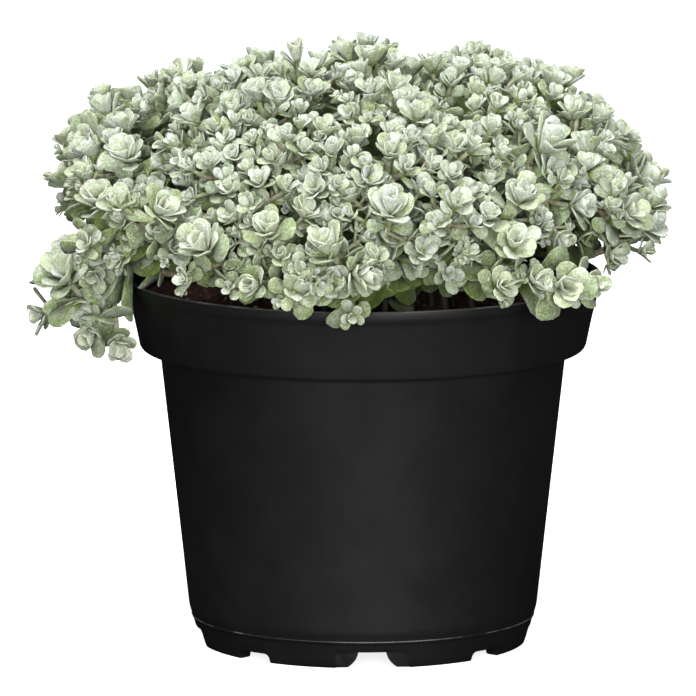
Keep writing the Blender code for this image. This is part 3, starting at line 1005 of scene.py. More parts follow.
@dataclass
class PeatBed:
    """The root ball with its crumbly upper side. Sizes in mm, but those of crumbs and fibres in metres.

    How far crumbs and fibres lie askew goes from 0, flat, to 1, any way up.
    """

    axis: Vector
    node: str = "soil"
    edge_radius: float = 61.4
    side: tuple[Corner, ...] = (
        Corner(61.3, 93.0, 0.6), Corner(59.2, 86.4, 0.5), Corner(58.2, 84.5, 0.5), Corner(54.6, 83.3, 0.5),
        Corner(53.2, 81.5, 0.5), Corner(45.5, 10.6, 0.5), Corner(43.9, 8.6, 0.3), Corner(0.0, 8.6),
    )
    rings: int = 52
    steps: int = 150
    lump: float = 1.25
    crown: float = 1.0
    edge_drop: float = 1.1
    crumbs_per_square_metre: float = 260000.0
    fibres_per_square_metre: float = 26000.0
    crumb_kinds: int = 5
    fibre_kinds: int = 4
    crumb_sizes: tuple[float, float] = (0.00045, 0.0022)
    fibre_sizes: tuple[float, float] = (0.003, 0.011)
    crumb_lie: float = 1.0
    fibre_lie: float = 0.05
    bed_tint: float = 0.35
    seed: int = 11
    finish: PeatCrumb = field(default_factory=PeatCrumb)

    def top_height(self) -> float:
        """The height of the CAD root ball's upper side, in metres."""
        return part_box(self.node)[1].z

    def surface(self, x: float, y: float) -> float:
        """How far the crumbly surface stands above its mean.

        Args:
            x: the place, in mm from the pot's axis.
            y: the same, front to back.

        Returns:
            The height, in mm.
        """
        coarse = noise(Vector((x, y, 1.0)) * 0.11)
        clods = abs(noise(Vector((x, y, 5.0)) * 0.33))
        grit = noise(Vector((x, y, 9.0)) * 0.95)
        return self.lump * (0.75 * coarse + 0.95 * clods + 0.30 * grit) - 0.4

    def bed(self) -> Item:
        """Shapes the root ball.

        Returns:
            A closed body with a fine, lumpy upper side.
        """
        top = self.top_height() / MM - 0.9
        flat = [Corner(self.edge_radius * i / self.rings, top) for i in range(self.rings + 1)]
        turned = TurnedSolid(tuple(flat) + self.side, steps=self.steps, arc_steps=2)
        body = Workshop.baked(turned.build("bed", self.axis), "peat_bed")
        for corner in body.data.vertices:
            x, y = (corner.co.x - self.axis.x) / MM, (corner.co.y - self.axis.y) / MM
            if corner.co.z / MM > top - 0.3:
                out = math.hypot(x, y) / self.edge_radius
                dome = self.crown * (1 - out * out) - self.edge_drop * out ** 6
                corner.co.z += (dome - 0.7 + self.surface(x, y) * (1 - 0.4 * out ** 8)) * MM
        Workshop.smooth(body.data)
        return body

    @staticmethod
    def crumb(number: int, shake: random.Random) -> Item:
        """An irregular crumb about a unit across.

        Args:
            number: its place in the stock.
            shake: draws its shape.

        Returns:
            An object that isn't in the scene yet.
        """
        shape = bmesh.new()
        bmesh.ops.create_uvsphere(shape, u_segments=5, v_segments=3, radius=0.5)
        for corner in shape.verts:
            corner.co *= shake.uniform(0.7, 1.25)
        mesh = Workshop.mesh_of("crumb", shape)
        Workshop.smooth(mesh)
        return bpy.data.objects.new(f"crumb_{number}", mesh)

    @staticmethod
    def fibre(number: int, shake: random.Random) -> Item:
        """A bent rootlet about a unit long, three-sided and pointed at both ends.

        Args:
            number: its place in the stock.
            shake: draws its bend.

        Returns:
            An object that isn't in the scene yet.
        """
        shape = bmesh.new()
        bend, lift, joints = shake.uniform(-0.7, 0.7), shake.uniform(0.05, 0.22), 6
        rings = []
        for k in range(joints + 1):
            share = k / joints
            middle = Vector((share - 0.5, bend * share * (1 - share), lift * math.sin(math.pi * share)))
            thick = 0.016 * math.sin(math.pi * min(max(share, 0.03), 0.97)) ** 0.5
            ring = []
            for side in range(3):
                turn = side * math.tau / 3
                ring.append(shape.verts.new(middle + Vector((0, math.cos(turn), math.sin(turn))) * thick))
            rings.append(ring)
        for first, second in zip(rings, rings[1:]):
            for side in range(3):
                shape.faces.new((first[side], second[side], second[(side + 1) % 3], first[(side + 1) % 3]))
        shape.faces.new(rings[0])
        shape.faces.new(list(reversed(rings[-1])))
        bmesh.ops.recalc_face_normals(shape, faces=shape.faces)
        mesh = Workshop.mesh_of("fibre", shape)
        Workshop.smooth(mesh)
        return bpy.data.objects.new(f"fibre_{number}", mesh)

    @staticmethod
    def scatter_tree() -> GrowthTree:
        """Strews a stock of small shapes over the upward side of a surface.

        Returns:
            The tree.
        """
        made = GrowthTree.named("strewn_peat")
        stock = made.takes("Stock", "Collection")
        density = made.takes("Density", "Float", 100000.0)
        least = made.takes("Smallest", "Float", 0.0005)
        most = made.takes("Largest", "Float", 0.0016)
        lie = made.takes("Lie", "Float", 1.0)
        seed = made.takes("Seed", "Int", 1)
        material = made.takes("Finish", "Material")
        normal = made.add("GeometryNodeInputNormal").outputs[0]
        facing = made.add("ShaderNodeSeparateXYZ", {0: normal}).outputs[2]
        upward = made.add(
            "FunctionNodeCompare", {0: facing, 1: 0.35}, data_type="FLOAT", operation="GREATER_THAN"
        )
        spread = made.add(
            "GeometryNodeDistributePointsOnFaces",
            {"Mesh": made.group_in.outputs[0], "Selection": upward.outputs[0], "Density": density,
             "Seed": seed},
            distribute_method="RANDOM",
        )
        size = made.chance(0.0, 1.0, seed, 3)
        size = made.times(size, size)
        size = made.times(size, size)
        size = made.plus(least, made.times(size, made.minus(most, least)))
        tip = made.times(made.chance(-3.1, 3.1, seed, 5), lie)
        roll = made.times(made.chance(-3.1, 3.1, seed, 7), lie)
        turn = made.add("ShaderNodeCombineXYZ", {0: tip, 1: roll, 2: made.chance(-3.1, 3.1, seed, 9)})
        turned = made.add("FunctionNodeEulerToRotation", {0: turn.outputs[0]})
        tinted = made.keep(spread.outputs[0], "tint", made.chance(0.0, 1.0, seed, 13))
        placed = made.strew(stock, {"Points": tinted, "Rotation": turned.outputs[0], "Scale": size})
        made.finish(placed, material)
        return made

    def build(self) -> None:
        """Fills the pot and strews crumbs and fibres over the top."""
        material = self.finish.material()
        bed = self.bed()
        shake = random.Random(self.seed)
        tree = self.scatter_tree()
        crumbs = [self.crumb(i, shake) for i in range(self.crumb_kinds)]
        fibres = [self.fibre(i, shake) for i in range(self.fibre_kinds)]
        strewn = (
            ("peat_crumbs", crumbs, self.crumbs_per_square_metre, self.crumb_sizes, self.crumb_lie),
            ("peat_fibres", fibres, self.fibres_per_square_metre, self.fibre_sizes, self.fibre_lie),
        )
        for number, (name, shapes, density, (least, most), lie) in enumerate(strewn):
            stock = bpy.data.collections.new(name)
            bpy.context.scene.collection.children.link(stock)
            for item in shapes:
                stock.objects.link(item)
            ground = Workshop.object_of(name, bed.data.copy())
            piece = tree.grow(
                ground,
                {"Stock": stock, "Density": density, "Smallest": least, "Largest": most, "Lie": lie,
                 "Seed": self.seed + number, "Finish": material},
                name,
            )
            for item in shapes:
                bpy.data.objects.remove(item, do_unlink=True)
            bpy.data.collections.remove(stock)
            Workshop.present(piece, PieceKind.PEAT)
        Workshop.store(bed.data, "tint", "FLOAT", [self.bed_tint] * len(bed.data.vertices))
        Workshop.dress(bed, material)
        Workshop.present(bed, PieceKind.PEAT, [self.node])


# --- Leaves ---


@dataclass(frozen=True)
class LeafForm:
    """One age of leaf, a unit long. Width and thickness are shares of the length."""

    name: str
    width: float
    thickness: float
    widest: float
    neck: float
    cup: float
    bend: float
    twist: float = 0.0
    stations: tuple[float, ...] = (0.07, 0.36, 0.66, 0.88, 0.975)
    around: int = 6

    def half_width(self, share: float) -> float:
        """Half the leaf's width.

        Args:
            share: how far along the leaf, from 0 to 1.

        Returns:
            The half width, as a share of the length.
        """
        if share < self.widest:
            swell = share / self.widest
            swell = swell * swell * (3 - 2 * swell)
            return (self.neck * (1 - swell) + self.width * swell) / 2
        past = (share - self.widest) / (1 - self.widest)
        return self.width / 2 * max(0.0, 1 - past ** 2.3) ** 0.5

    def half_depth(self, share: float) -> float:
        """Half the leaf's thickness at this share of its length."""
        tip = max(0.0, (share - 0.86) / 0.14)
        return self.thickness / 2 * (1 - 0.3 * share) * max(0.0, 1 - tip * tip) ** 0.5

    def spine(self, share: float) -> tuple[Vector, float]:
        """A point of the bent midrib.

        Args:
            share: how far along the leaf, from 0 to 1.

        Returns:
            The point, and how far the midrib has turned there.
        """
        steps = 12
        spot, turned = Vector((0.0, 0.0, 0.0)), 0.0
        for k in range(steps):
            turned = self.bend * ((k + 0.5) / steps * share) ** 1.4
            spot += Vector((math.cos(turned), 0.0, math.sin(turned))) * share / steps
        return spot, self.bend * share ** 1.4

    @staticmethod
    def fuller(part: float, power: float) -> float:
        """A sine or cosine raised to a power below 1, so that the leaf's section is fuller than an oval.

        Args:
            part: the sine or cosine.
            power: the power.

        Returns:
            The raised value, with the sign it had.
        """
        return math.copysign(abs(part) ** power, part) if abs(part) > 1e-6 else 0.0

    def build(self, number: int) -> Item:
        """Shapes the leaf: length along +X, upper side towards +Z.

        Args:
            number: its place in the stock.

        Returns:
            An object that isn't in the scene yet, with its along and across attributes.
        """
        shape = bmesh.new()
        levels = len(self.stations) + 1
        bmesh.ops.create_uvsphere(shape, u_segments=self.around, v_segments=levels, radius=1.0)
        along, across = [], []
        for corner in shape.verts:
            level = round((1 - math.acos(max(-1.0, min(1.0, corner.co.z))) / math.pi) * levels)
            share = (0.0, *self.stations, 1.0)[level]
            side, depth, width = 0.0, 0.0, 0.0
            if 0 < level < levels:
                angle = math.atan2(corner.co.y, corner.co.x)
                side = self.fuller(math.cos(angle), 0.5)
                depth = self.fuller(math.sin(angle), 0.85)
                width = self.half_width(share)
            thick = self.half_depth(share)
            height = thick * depth * (0.55 if depth > 0 else 1.0) + self.cup * width * side * side
            height += self.twist * width * side * share
            spot, turned = self.spine(share)
            upward = Vector((-math.sin(turned), 0.0, math.cos(turned)))
            corner.co = spot + upward * height + Vector((0, width * side, 0))
            along.append(share)
            across.append(side)
        bmesh.ops.recalc_face_normals(shape, faces=shape.faces)
        mesh = Workshop.mesh_of(self.name, shape)
        Workshop.smooth(mesh)
        Workshop.store(mesh, "along", "FLOAT", along)
        Workshop.store(mesh, "across", "FLOAT", across)
        return bpy.data.objects.new(f"leaf_{number}_{self.name}", mesh)


FEW_STATIONS = (0.10, 0.48, 0.80, 0.965)
LEAF_FORMS = (
    LeafForm("bud", 0.50, 0.14, 0.68, 0.28, 0.55, 0.30, 0.0, FEW_STATIONS),
    LeafForm("hooded", 0.60, 0.12, 0.72, 0.24, 0.52, 0.18, 0.08, FEW_STATIONS),
    LeafForm("cupped", 0.64, 0.12, 0.74, 0.20, 0.46, 0.06, -0.12, FEW_STATIONS),
    LeafForm("open", 0.58, 0.12, 0.76, 0.17, 0.38, -0.06, 0.18),
    LeafForm("spread", 0.56, 0.12, 0.76, 0.16, 0.30, -0.16, -0.22),
    LeafForm("round", 0.74, 0.12, 0.73, 0.14, 0.22, -0.20, 0.18),
    LeafForm("flat", 0.88, 0.11, 0.71, 0.13, 0.16, -0.28, -0.16),
)


@dataclass
class Whorl:
    """Leaves that share one place: a whole rosette, or a single leaf on a stem. In metres."""

    place: Vector
    axis: Vector
    side: Vector
    size: float
    leaves: int
    youngest: float
    oldest: float
    openness: float = 1.0
    spin: float = 0.0
    depth: float = 0.0


class Foliage:
    """The tree that turns whorls into leaves, with its stock of leaf forms."""

    def __init__(self) -> None:
        """Builds the tree, the leaf forms and their skin."""
        self.tree = self.leaf_tree()
        self.stock = bpy.data.collections.new("leaf_stock")
        bpy.context.scene.collection.children.link(self.stock)
        for number, form in enumerate(LEAF_FORMS):
            self.stock.objects.link(form.build(number))
        self.material = LeafSkin().material()

    @staticmethod
    def leaf_tree() -> GrowthTree:
        """Each whorl point is copied once for each leaf; each copy is turned by the golden angle,
        tilted further out the older it is, and takes the leaf form of its age.

        Returns:
            The tree.
        """
        made = GrowthTree.named("sedum_leaves")
        stock = made.takes("Leaf Stock", "Collection")
        golden = made.takes("Golden Angle", "Float", GOLDEN_ANGLE)
        young = made.takes("Young Tilt", "Float", YOUNG_TILT)
        old = made.takes("Old Tilt", "Float", OLD_TILT)
        shake = made.takes("Shake", "Float", 0.17)
        sink = made.takes("Sink", "Float", 0.36)
        seed = made.takes("Seed", "Int", 1)
        material = made.takes("Leaf Skin", "Material")
        points = made.add("GeometryNodeMeshToPoints", {"Mesh": made.group_in.outputs[0]})
        copies = made.add(
            "GeometryNodeDuplicateElements",
            {"Geometry": points.outputs[0], "Amount": made.attribute("leaves", "INT")}, domain="POINT",
        )
        index = copies.outputs[1]
        last = made.math("MAXIMUM", made.minus(made.attribute("leaves", "INT"), 1.0), 1.0)
        share = made.math("DIVIDE", index, last)
        youngest, oldest = made.attribute("youngest"), made.attribute("oldest")
        gained = made.times(share, made.minus(oldest, youngest))
        age = made.plus(youngest, gained)
        ordered = made.keep(made.keep(copies.outputs[0], "age", age), "order", index)
        age, order = made.attribute("age"), made.attribute("order")
        bent = made.math("POWER", made.math("MAXIMUM", age, 0.0001), TILT_CURVE)
        reach = made.times(made.minus(old, young), made.attribute("openness"))
        tilt = made.plus(young, made.times(reach, bent))
        wobble = made.times(made.chance(-1.0, 1.0, seed, 2), made.times(shake, 1.2))
        tilt = made.plus(tilt, wobble)
        turn = made.plus(made.attribute("spin"), made.times(order, golden))
        turn = made.plus(turn, made.times(made.chance(-1.0, 1.0, seed, 4), shake))
        roll = made.times(made.chance(-2.2, 2.2, seed, 6), shake)
        leant = made.minus(tilt, math.pi / 2)
        euler = made.add("ShaderNodeCombineXYZ", {0: roll, 1: leant, 2: turn})
        local = made.add("FunctionNodeEulerToRotation", {0: euler.outputs[0]})
        axis, side = made.attribute("axis", "FLOAT_VECTOR"), made.attribute("side", "FLOAT_VECTOR")
        axes = made.add(
            "FunctionNodeAxesToRotation", {"Primary Axis": axis, "Secondary Axis": side},
            primary_axis="Z", secondary_axis="X",
        )
        rotation = made.add(
            "FunctionNodeRotateRotation", {"Rotation": axes.outputs[0], "Rotate By": local.outputs[0]},
            rotation_space="LOCAL",
        )
        size = made.attribute("size")
        drop = made.times(made.times(size, sink), made.times(age, -1.0))
        sunk = {"Geometry": ordered, "Offset": made.stretched(axis, drop)}
        lowered = made.add("GeometryNodeSetPosition", sunk)
        grown = {"Value": age, "From Min": 0.0, "From Max": 0.8, "To Min": 0.62, "To Max": 1.0}
        length = made.times(size, made.add("ShaderNodeMapRange", grown).outputs[0])
        uneven = made.times(made.chance(-0.9, 0.9, seed, 8), shake)
        length = made.times(length, made.plus(1.0, uneven))
        pick = made.plus(made.times(age, 4.1), made.chance(-0.6, 0.6, seed, 10))
        pick = made.math("MAXIMUM", made.math("ROUND", pick), 0.0)
        pick = made.math("MINIMUM", pick, len(LEAF_FORMS) - 1.0)
        shaded = made.keep(lowered.outputs[0], "shade", made.chance(0.0, 1.0, seed, 12))
        turned = {"Points": shaded, "Instance Index": pick, "Rotation": rotation.outputs[0], "Scale": length}
        made.finish(made.strew(stock, turned), material)
        return made

    def grow(self, name: str, whorls: Sequence[Whorl], tint: float, seed: int) -> Item:
        """Grows the leaves of one shoot.

        Args:
            name: the piece's name.
            whorls: where its leaves sit.
            tint: from 0, warm, to 1, bluish.
            seed: makes its leaves its own.

        Returns:
            The leaves as one mesh.
        """
        mesh = bpy.data.meshes.new(name)
        mesh.from_pydata([tuple(whorl.place) for whorl in whorls], [], [])
        for key in ("size", "youngest", "oldest", "openness", "spin", "depth"):
            Workshop.store(mesh, key, "FLOAT", [getattr(whorl, key) for whorl in whorls])
        Workshop.store(mesh, "leaves", "INT", [whorl.leaves for whorl in whorls])
        for key in ("axis", "side"):
            Workshop.store(mesh, key, "FLOAT_VECTOR", [tuple(getattr(whorl, key)) for whorl in whorls])
        Workshop.store(mesh, "tint", "FLOAT", [tint] * len(whorls))
        seedling = Workshop.object_of(name, mesh)
        values = {"Leaf Stock": self.stock, "Seed": seed, "Leaf Skin": self.material}
        return self.tree.grow(seedling, values, name)

    def put_away(self) -> None:
        """Removes the stock of leaf forms once everything has grown."""
        for item in list(self.stock.objects):
            bpy.data.objects.remove(item, do_unlink=True)
        bpy.data.collections.remove(self.stock)


# --- Stems ---


class Stems:
    """The tree that gives a skeleton of lines its fleshy, scarred stems."""

    def __init__(self) -> None:
        """Builds the tree and the stems' skin."""
        self.tree = self.stem_tree()
        self.material = StemSkin().material()

    @staticmethod
    def stem_tree() -> GrowthTree:
        """Lines become smooth curves, and curves become tubes with swollen leaf scars.

        Returns:
            The tree.
        """
        made = GrowthTree.named("sedum_stems")
        spacing = made.takes("Ring Spacing", "Float", 0.0013)
        scar_gap = made.takes("Scar Spacing", "Float", 0.0026)
        scar_swell = made.takes("Scar Swell", "Float", 0.16)
        sides = made.takes("Sides", "Int", 6)
        material = made.takes("Stem Skin", "Material")
        curve = made.add("GeometryNodeMeshToCurve", {"Mesh": made.group_in.outputs[0]})
        rings = made.add(
            "GeometryNodeResampleCurve", {"Curve": curve.outputs[0], "Length": spacing}, mode="LENGTH"
        )
        walked = made.add("GeometryNodeSplineParameter").outputs["Length"]
        wave = made.math("SINE", made.times(made.math("DIVIDE", walked, scar_gap), math.tau))
        swell = made.times(made.math("POWER", made.math("MAXIMUM", wave, 0.0), 2.0), scar_swell)
        radius = made.times(made.attribute("radius"), made.plus(1.0, swell))
        marked = made.keep(rings.outputs[0], "along", made.attribute("rank"))
        thick = made.add("GeometryNodeSetCurveRadius", {"Curve": marked, "Radius": radius})
        ring = made.add(
            "GeometryNodeCurvePrimitiveCircle", {"Resolution": sides, "Radius": 1.0}, mode="RADIUS"
        )
        tube = made.add(
            "GeometryNodeCurveToMesh",
            {"Curve": thick.outputs[0], "Profile Curve": ring.outputs[0], "Fill Caps": True, "Scale": radius},
        )
        closed = made.add("GeometryNodeMergeByDistance", {"Geometry": tube.outputs[0], "Distance": 0.000005})
        made.finish(closed.outputs[0], material)
        return made

    def grow(self, name: str, ways: Sequence["Way"]) -> Item:
        """Grows the stems of one shoot.

        Args:
            name: the piece's name.
            ways: its stem and branches.

        Returns:
            The stems as one mesh.
        """
        points: list[tuple[float, float, float]] = []
        edges: list[tuple[int, int]] = []
        radii: list[float] = []
        ranks: list[float] = []
        for way in ways:
            start = len(points)
            fine = way.smooth()
            for k, spot in enumerate(fine):
                share = k / (len(fine) - 1)
                points.append(tuple(spot))
                radii.append(way.root_radius * (1 - share) + way.tip_radius * share)
                ranks.append(way.root_rank * (1 - share) + share)
            edges += [(i, i + 1) for i in range(start, len(points) - 1)]
        mesh = bpy.data.meshes.new(name)
        mesh.from_pydata(points, edges, [])
        Workshop.store(mesh, "radius", "FLOAT", radii)
        Workshop.store(mesh, "rank", "FLOAT", ranks)
        return self.tree.grow(Workshop.object_of(name, mesh), {"Stem Skin": self.material}, name)


@dataclass
class Way:
    """The line a stem or branch follows, in metres."""

    points: list[Vector]
    root_radius: float
    tip_radius: float
    root_rank: float = 0.0

    def length(self) -> float:
        """How long the way is."""
        return sum((b - a).length for a, b in zip(self.points, self.points[1:]))

    def smooth(self, per_span: int = 6) -> list[Vector]:
        """Eases the way's corners by a curve through its points.

        Args:
            per_span: how many steps each span gets.

        Returns:
            The points of the eased way.
        """
        points = self.points
        if len(points) < 3:
            return [points[0].lerp(points[-1], k / per_span) for k in range(per_span + 1)]
        padded = [points[0] * 2 - points[1]] + points + [points[-1] * 2 - points[-2]]
        fine: list[Vector] = []
        for a, b, c, d in zip(padded, padded[1:], padded[2:], padded[3:]):
            for k in range(per_span):
                t = k / per_span
                square, cube = a * 2 - b * 5 + c * 4 - d, b * 3 - a - c * 3 + d
                fine.append((b * 2 + (c - a) * t + square * t * t + cube * t ** 3) * 0.5)
        return fine + [points[-1]]

    def from_tip(self, distance: float) -> tuple[Vector, Vector]:
        """A point of the way and its direction there.

        Args:
            distance: how far back from the tip, in metres.

        Returns:
            The point and the unit direction towards the tip.
        """
        left = distance
        backward = list(reversed(self.smooth()))
        for ahead, behind in zip(backward, backward[1:]):
            span = (ahead - behind).length
            if left <= span and span > 0:
                return ahead.lerp(behind, left / span), (ahead - behind).normalized()
            left -= span
        return backward[-1].copy(), (backward[-2] - backward[-1]).normalized()


# --- Shoots ---


@dataclass
class Rosette:
    """One rosette of the plant, in metres."""

    centre: Vector
    axis: Vector
    radius: float
    way: Way


@dataclass
class CadShoot:
    """Reads a shoot's rosettes and stems out of its CAD mesh."""

    node: str
    pot_axis: Vector
    weld: float = 2e-6
    window: float = 0.0086
    least_area: float = 0.00013
    heads_apart: float = 0.0065
    reach_share: float = 0.85
    least_reach: float = 0.004
    root_circle: float = 0.050
    ring_window: float = 0.0022
    stem_radii: tuple[float, float] = (0.00115, 0.00085)

    def __post_init__(self) -> None:
        """Welds the node's mesh and weighs each vertex by the area round it."""
        mesh = frame["nodes"][self.node].data
        raw = np.empty(len(mesh.vertices) * 3)
        mesh.vertices.foreach_get("co", raw)
        raw = raw.reshape(-1, 3)
        mesh.calc_loop_triangles()
        faces = np.empty(len(mesh.loop_triangles) * 3, int)
        mesh.loop_triangles.foreach_get("vertices", faces)
        keys = np.round(raw / self.weld).astype(np.int64)
        _, first, back = np.unique(keys, axis=0, return_index=True, return_inverse=True)
        self.spots = raw[first]
        self.faces = back.reshape(-1)[faces].reshape(-1, 3)
        corners = self.spots[self.faces]
        square = np.cross(corners[:, 1] - corners[:, 0], corners[:, 2] - corners[:, 0])
        areas = np.linalg.norm(square, axis=1) / 2
        self.weights = np.zeros(len(self.spots))
        for k in range(3):
            np.add.at(self.weights, self.faces[:, k], areas / 3)

    def middle_of(self, mine: np.ndarray) -> np.ndarray:
        """The centre of the surface round these vertices."""
        return (self.spots[mine] * self.weights[mine, None]).sum(0) / self.weights[mine].sum()

    def neighbours(self) -> list[set[int]]:
        """Finds what each vertex is joined to.

        Returns:
            For each welded vertex, the vertices it shares an edge with.
        """
        beside: list[set[int]] = [set() for _ in self.spots]
        for a, b, c in self.faces:
            beside[a] |= {int(b), int(c)}
            beside[b] |= {int(a), int(c)}
            beside[c] |= {int(a), int(b)}
        return beside

    def heads(self) -> list[tuple[np.ndarray, float]]:
        """The rosettes: where the surface is densest.

        Returns:
            Each rosette's centre and radius.
        """
        modes: list[tuple[np.ndarray, float]] = []
        for start in self.spots:
            spot = start
            for _ in range(12):
                spot = self.middle_of(np.linalg.norm(self.spots - spot, axis=1) < self.window)
            area = self.weights[np.linalg.norm(self.spots - spot, axis=1) < self.window].sum()
            modes.append((spot, area))
        modes.sort(key=lambda mode: -mode[1])
        kept: list[np.ndarray] = []
        for spot, area in modes:
            apart = all(np.linalg.norm(spot - other) > self.heads_apart for other in kept)
            if area > self.least_area and apart:
                kept.append(spot)
        for _ in range(5):
            gaps = np.linalg.norm(self.spots[:, None] - np.array(kept)[None], axis=2)
            owner = gaps.argmin(1)
            own = [(owner == k) & (gaps[:, k] < self.window) for k in range(len(kept))]
            kept = [self.middle_of(mine) if mine.any() else kept[k] for k, mine in enumerate(own)]
        found = []
        for k, spot in enumerate(kept):
            gaps = np.linalg.norm(self.spots - spot, axis=1)
            mine = (gaps < self.window) & own[k]
            reach = self.least_reach
            if mine.sum() > 8:
                reach = float(np.sort(gaps[mine])[int(mine.sum() * self.reach_share)])
            found.append((spot, reach))
        return found

    def rosettes(self) -> list[Rosette]:
        """Follows the surface from the shoot's foot to each rosette.

        Returns:
            The rosettes with the ways that lead to them, the largest first.
        """
        beside = self.neighbours()
        flat = np.linalg.norm(self.spots[:, :2] - np.array(self.pot_axis[:2]), axis=1)
        rooted = np.where(flat < self.root_circle)[0]
        foot = int(rooted[self.spots[rooted, 2].argmin()])
        cost = np.full(len(self.spots), np.inf)
        cost[foot] = 0.0
        came = {foot: foot}
        queue = [(0.0, foot)]
        while queue:
            spent, here = heapq.heappop(queue)
            if spent > cost[here]:
                continue
            for there in beside[here]:
                total = spent + float(np.linalg.norm(self.spots[here] - self.spots[there]))
                if total < cost[there]:
                    cost[there] = total
                    came[there] = here
                    heapq.heappush(queue, (total, there))
        found: list[Rosette] = []
        for centre, radius in self.heads():
            gaps = np.linalg.norm(self.spots - centre, axis=1)
            shell = np.where(gaps < radius * 1.12)[0]
            entry = int(shell[cost[shell].argmin()])
            trail = [entry]
            while trail[-1] != foot:
                trail.append(came[trail[-1]])
            points = []
            for index in reversed(trail):
                ring = np.linalg.norm(self.spots - self.spots[index], axis=1) < self.ring_window
                outside = ring & (gaps > radius)
                middle = self.spots[outside].mean(0) if outside.any() else self.spots[index]
                spot = Vector(middle)
                if not points or (spot - points[-1]).length > self.ring_window:
                    points.append(spot)
            heart = Vector(centre)
            if len(points) > 1 and (points[-1] - heart).length < radius:
                points.pop()
            axis = (heart - points[-1]).normalized()
            points.append(heart + axis * radius * 0.10)
            found.append(Rosette(heart, axis, radius, Way(points, *self.stem_radii)))
        found.sort(key=lambda rosette: -rosette.radius)
        return found


@dataclass
class Plant:
    """All the shoots: it reads them from the CAD nodes and grows stems and leaves on them.

    Lengths are in metres and turns in radians. Pairs are the least and the most of a random draw.
    """

    pot_axis: Vector
    rim: float
    soil: float
    inner_radius: float = 0.0625
    outer_radius: float = 0.0656
    leaf_ages: tuple[float, float] = (1.02, 1.5)
    filler_tries: int = 26
    fillers_each: int = 7
    bunched: float = 0.5
    upright: float = 0.24
    split_over: float = 0.0048
    split_above: float = 0.34
    split_share: float = 2.0
    split_least: float = 0.08
    middle_head: float = 0.68
    side_heads: tuple[float, float] = (0.46, 0.64)
    head_circle: float = 0.84
    filler_sizes: tuple[float, float] = (0.0030, 0.0054)
    bud_sizes: tuple[float, float] = (0.0018, 0.0026)
    stalk_radii: tuple[float, float] = (0.00062, 0.00055)
    bud_stalk_radii: tuple[float, float] = (0.0005, 0.0004)
    stem_leaf: float = 0.0084
    filler_leaf: float = 0.0066
    head_leaf: float = 0.0052
    stem_leaf_tilt: tuple[float, float] = (0.95, 1.45)
    stem_leaf_gap: tuple[float, float] = (0.0014, 0.0023)
    hanging_gap: float = 2.2
    hanging_size: float = 1.18
    leafy_length: float = 0.030
    leafy_more: float = 0.020
    crowding: float = 0.58
    overhang: float = 0.0008
    old_growth: float = 0.030
    shaded_below: float = 0.034
    clear_of_peat: float = 0.004
    clear_of_rim: float = -0.002
    clear_of_wall: float = 0.0018
    lip_inner: float = 0.0630
    lip_outer: float = 0.0654
    collar_height: float = 0.020
    collar_slope: float = 0.25
    lift: float = 0.010
    front_turn: float = -1.45
    light_side: tuple[float, float, float] = (0.0, -0.55, 0.25)
    seed: int = 23

    def __post_init__(self) -> None:
        """Sets up the random draws and the two trees."""
        self.shake = random.Random(self.seed)
        self.foliage = Foliage()
        self.stems = Stems()
        self.taken: list[tuple[Vector, float]] = []
        self.hanging = False

    def nodes(self) -> list[str]:
        """The names of the CAD shoots."""
        return sorted(name for name in frame["nodes"] if name.startswith("shoot_"))

    @staticmethod
    def ray(axis: Vector, side: Vector, turn: float) -> Vector:
        """The direction square to an axis, this far round it from its side."""
        return side * math.cos(turn) + axis.cross(side) * math.sin(turn)

    def off_axis(self, spot: Vector) -> float:
        """How far a point is from the pot's axis, seen from above."""
        return math.hypot(spot.x - self.pot_axis.x, spot.y - self.pot_axis.y)

    def in_wall(self, spot: Vector, spare: float = 0.0006) -> bool:
        """Whether a point lies in the pot's wall below the rim."""
        out = self.off_axis(spot)
        return self.inner_radius - spare < out < self.outer_radius + spare and spot.z < self.rim + spare

    def hits_pot(self, spot: Vector, spare: float = 0.0006) -> bool:
        """Whether a point lies in the pot's wall, too near the soil, or lower than the shoot may hang.

        The shoots reach lowest at the front; all round the rest of the rim they keep some way above it.

        Args:
            spot: the point.
            spare: the clearance from the wall.

        Returns:
            True when the point isn't free.
        """
        x, y = spot.x - self.pot_axis.x, spot.y - self.pot_axis.y
        out = self.off_axis(spot)
        lift = self.lift * (1 - max(0.0, math.cos(math.atan2(y, x) - self.front_turn)) ** 5)
        if self.in_wall(spot, spare):
            return True
        if out < self.inner_radius:
            lift *= min(1.0, max(0.0, (out - 0.040) / 0.010))
            return spot.z < self.soil + self.clear_of_peat + lift
        return out > self.outer_radius and not self.hanging and spot.z < self.rim + self.clear_of_rim + lift

    def fits(self, spot: Vector, tip: Vector, ahead: Vector, size: float) -> bool:
        """Whether a stem leaf keeps clear of the pot and the soil along its whole length and width.

        Args:
            spot: where it leaves the stem.
            tip: where it ends.
            ahead: the stem's direction.
            size: the leaf's length.

        Returns:
            True when none of the points tried is in the way.
        """
        wide = (tip - spot).cross(ahead).normalized() * size * 0.34
        line = [spot.lerp(tip, share) for share in (0.2, 0.35, 0.5, 0.62, 0.74, 0.87, 1.0, 1.12)]
        sides = [spot.lerp(tip, share) + wide * way for share in (0.45, 0.6, 0.75, 0.9) for way in (-1, 1)]
        if any(self.in_wall(corner, self.clear_of_wall) for corner in line + sides):
            return False
        return not any(self.hits_pot(corner) for corner in line + sides)

    def sticks_out(self, spot: Vector, reach: float) -> bool:
        """Whether something this size, at this spot, leaves the outline of the CAD model.

        Args:
            spot: its middle.
            reach: how far it reaches from there.

        Returns:
            True when it passes the outline by more than the overhang.
        """
        low, high = CAD_BOX
        return any(
            spot[i] - reach < low[i] - self.overhang or spot[i] + reach > high[i] + self.overhang
            for i in range(3)
        )

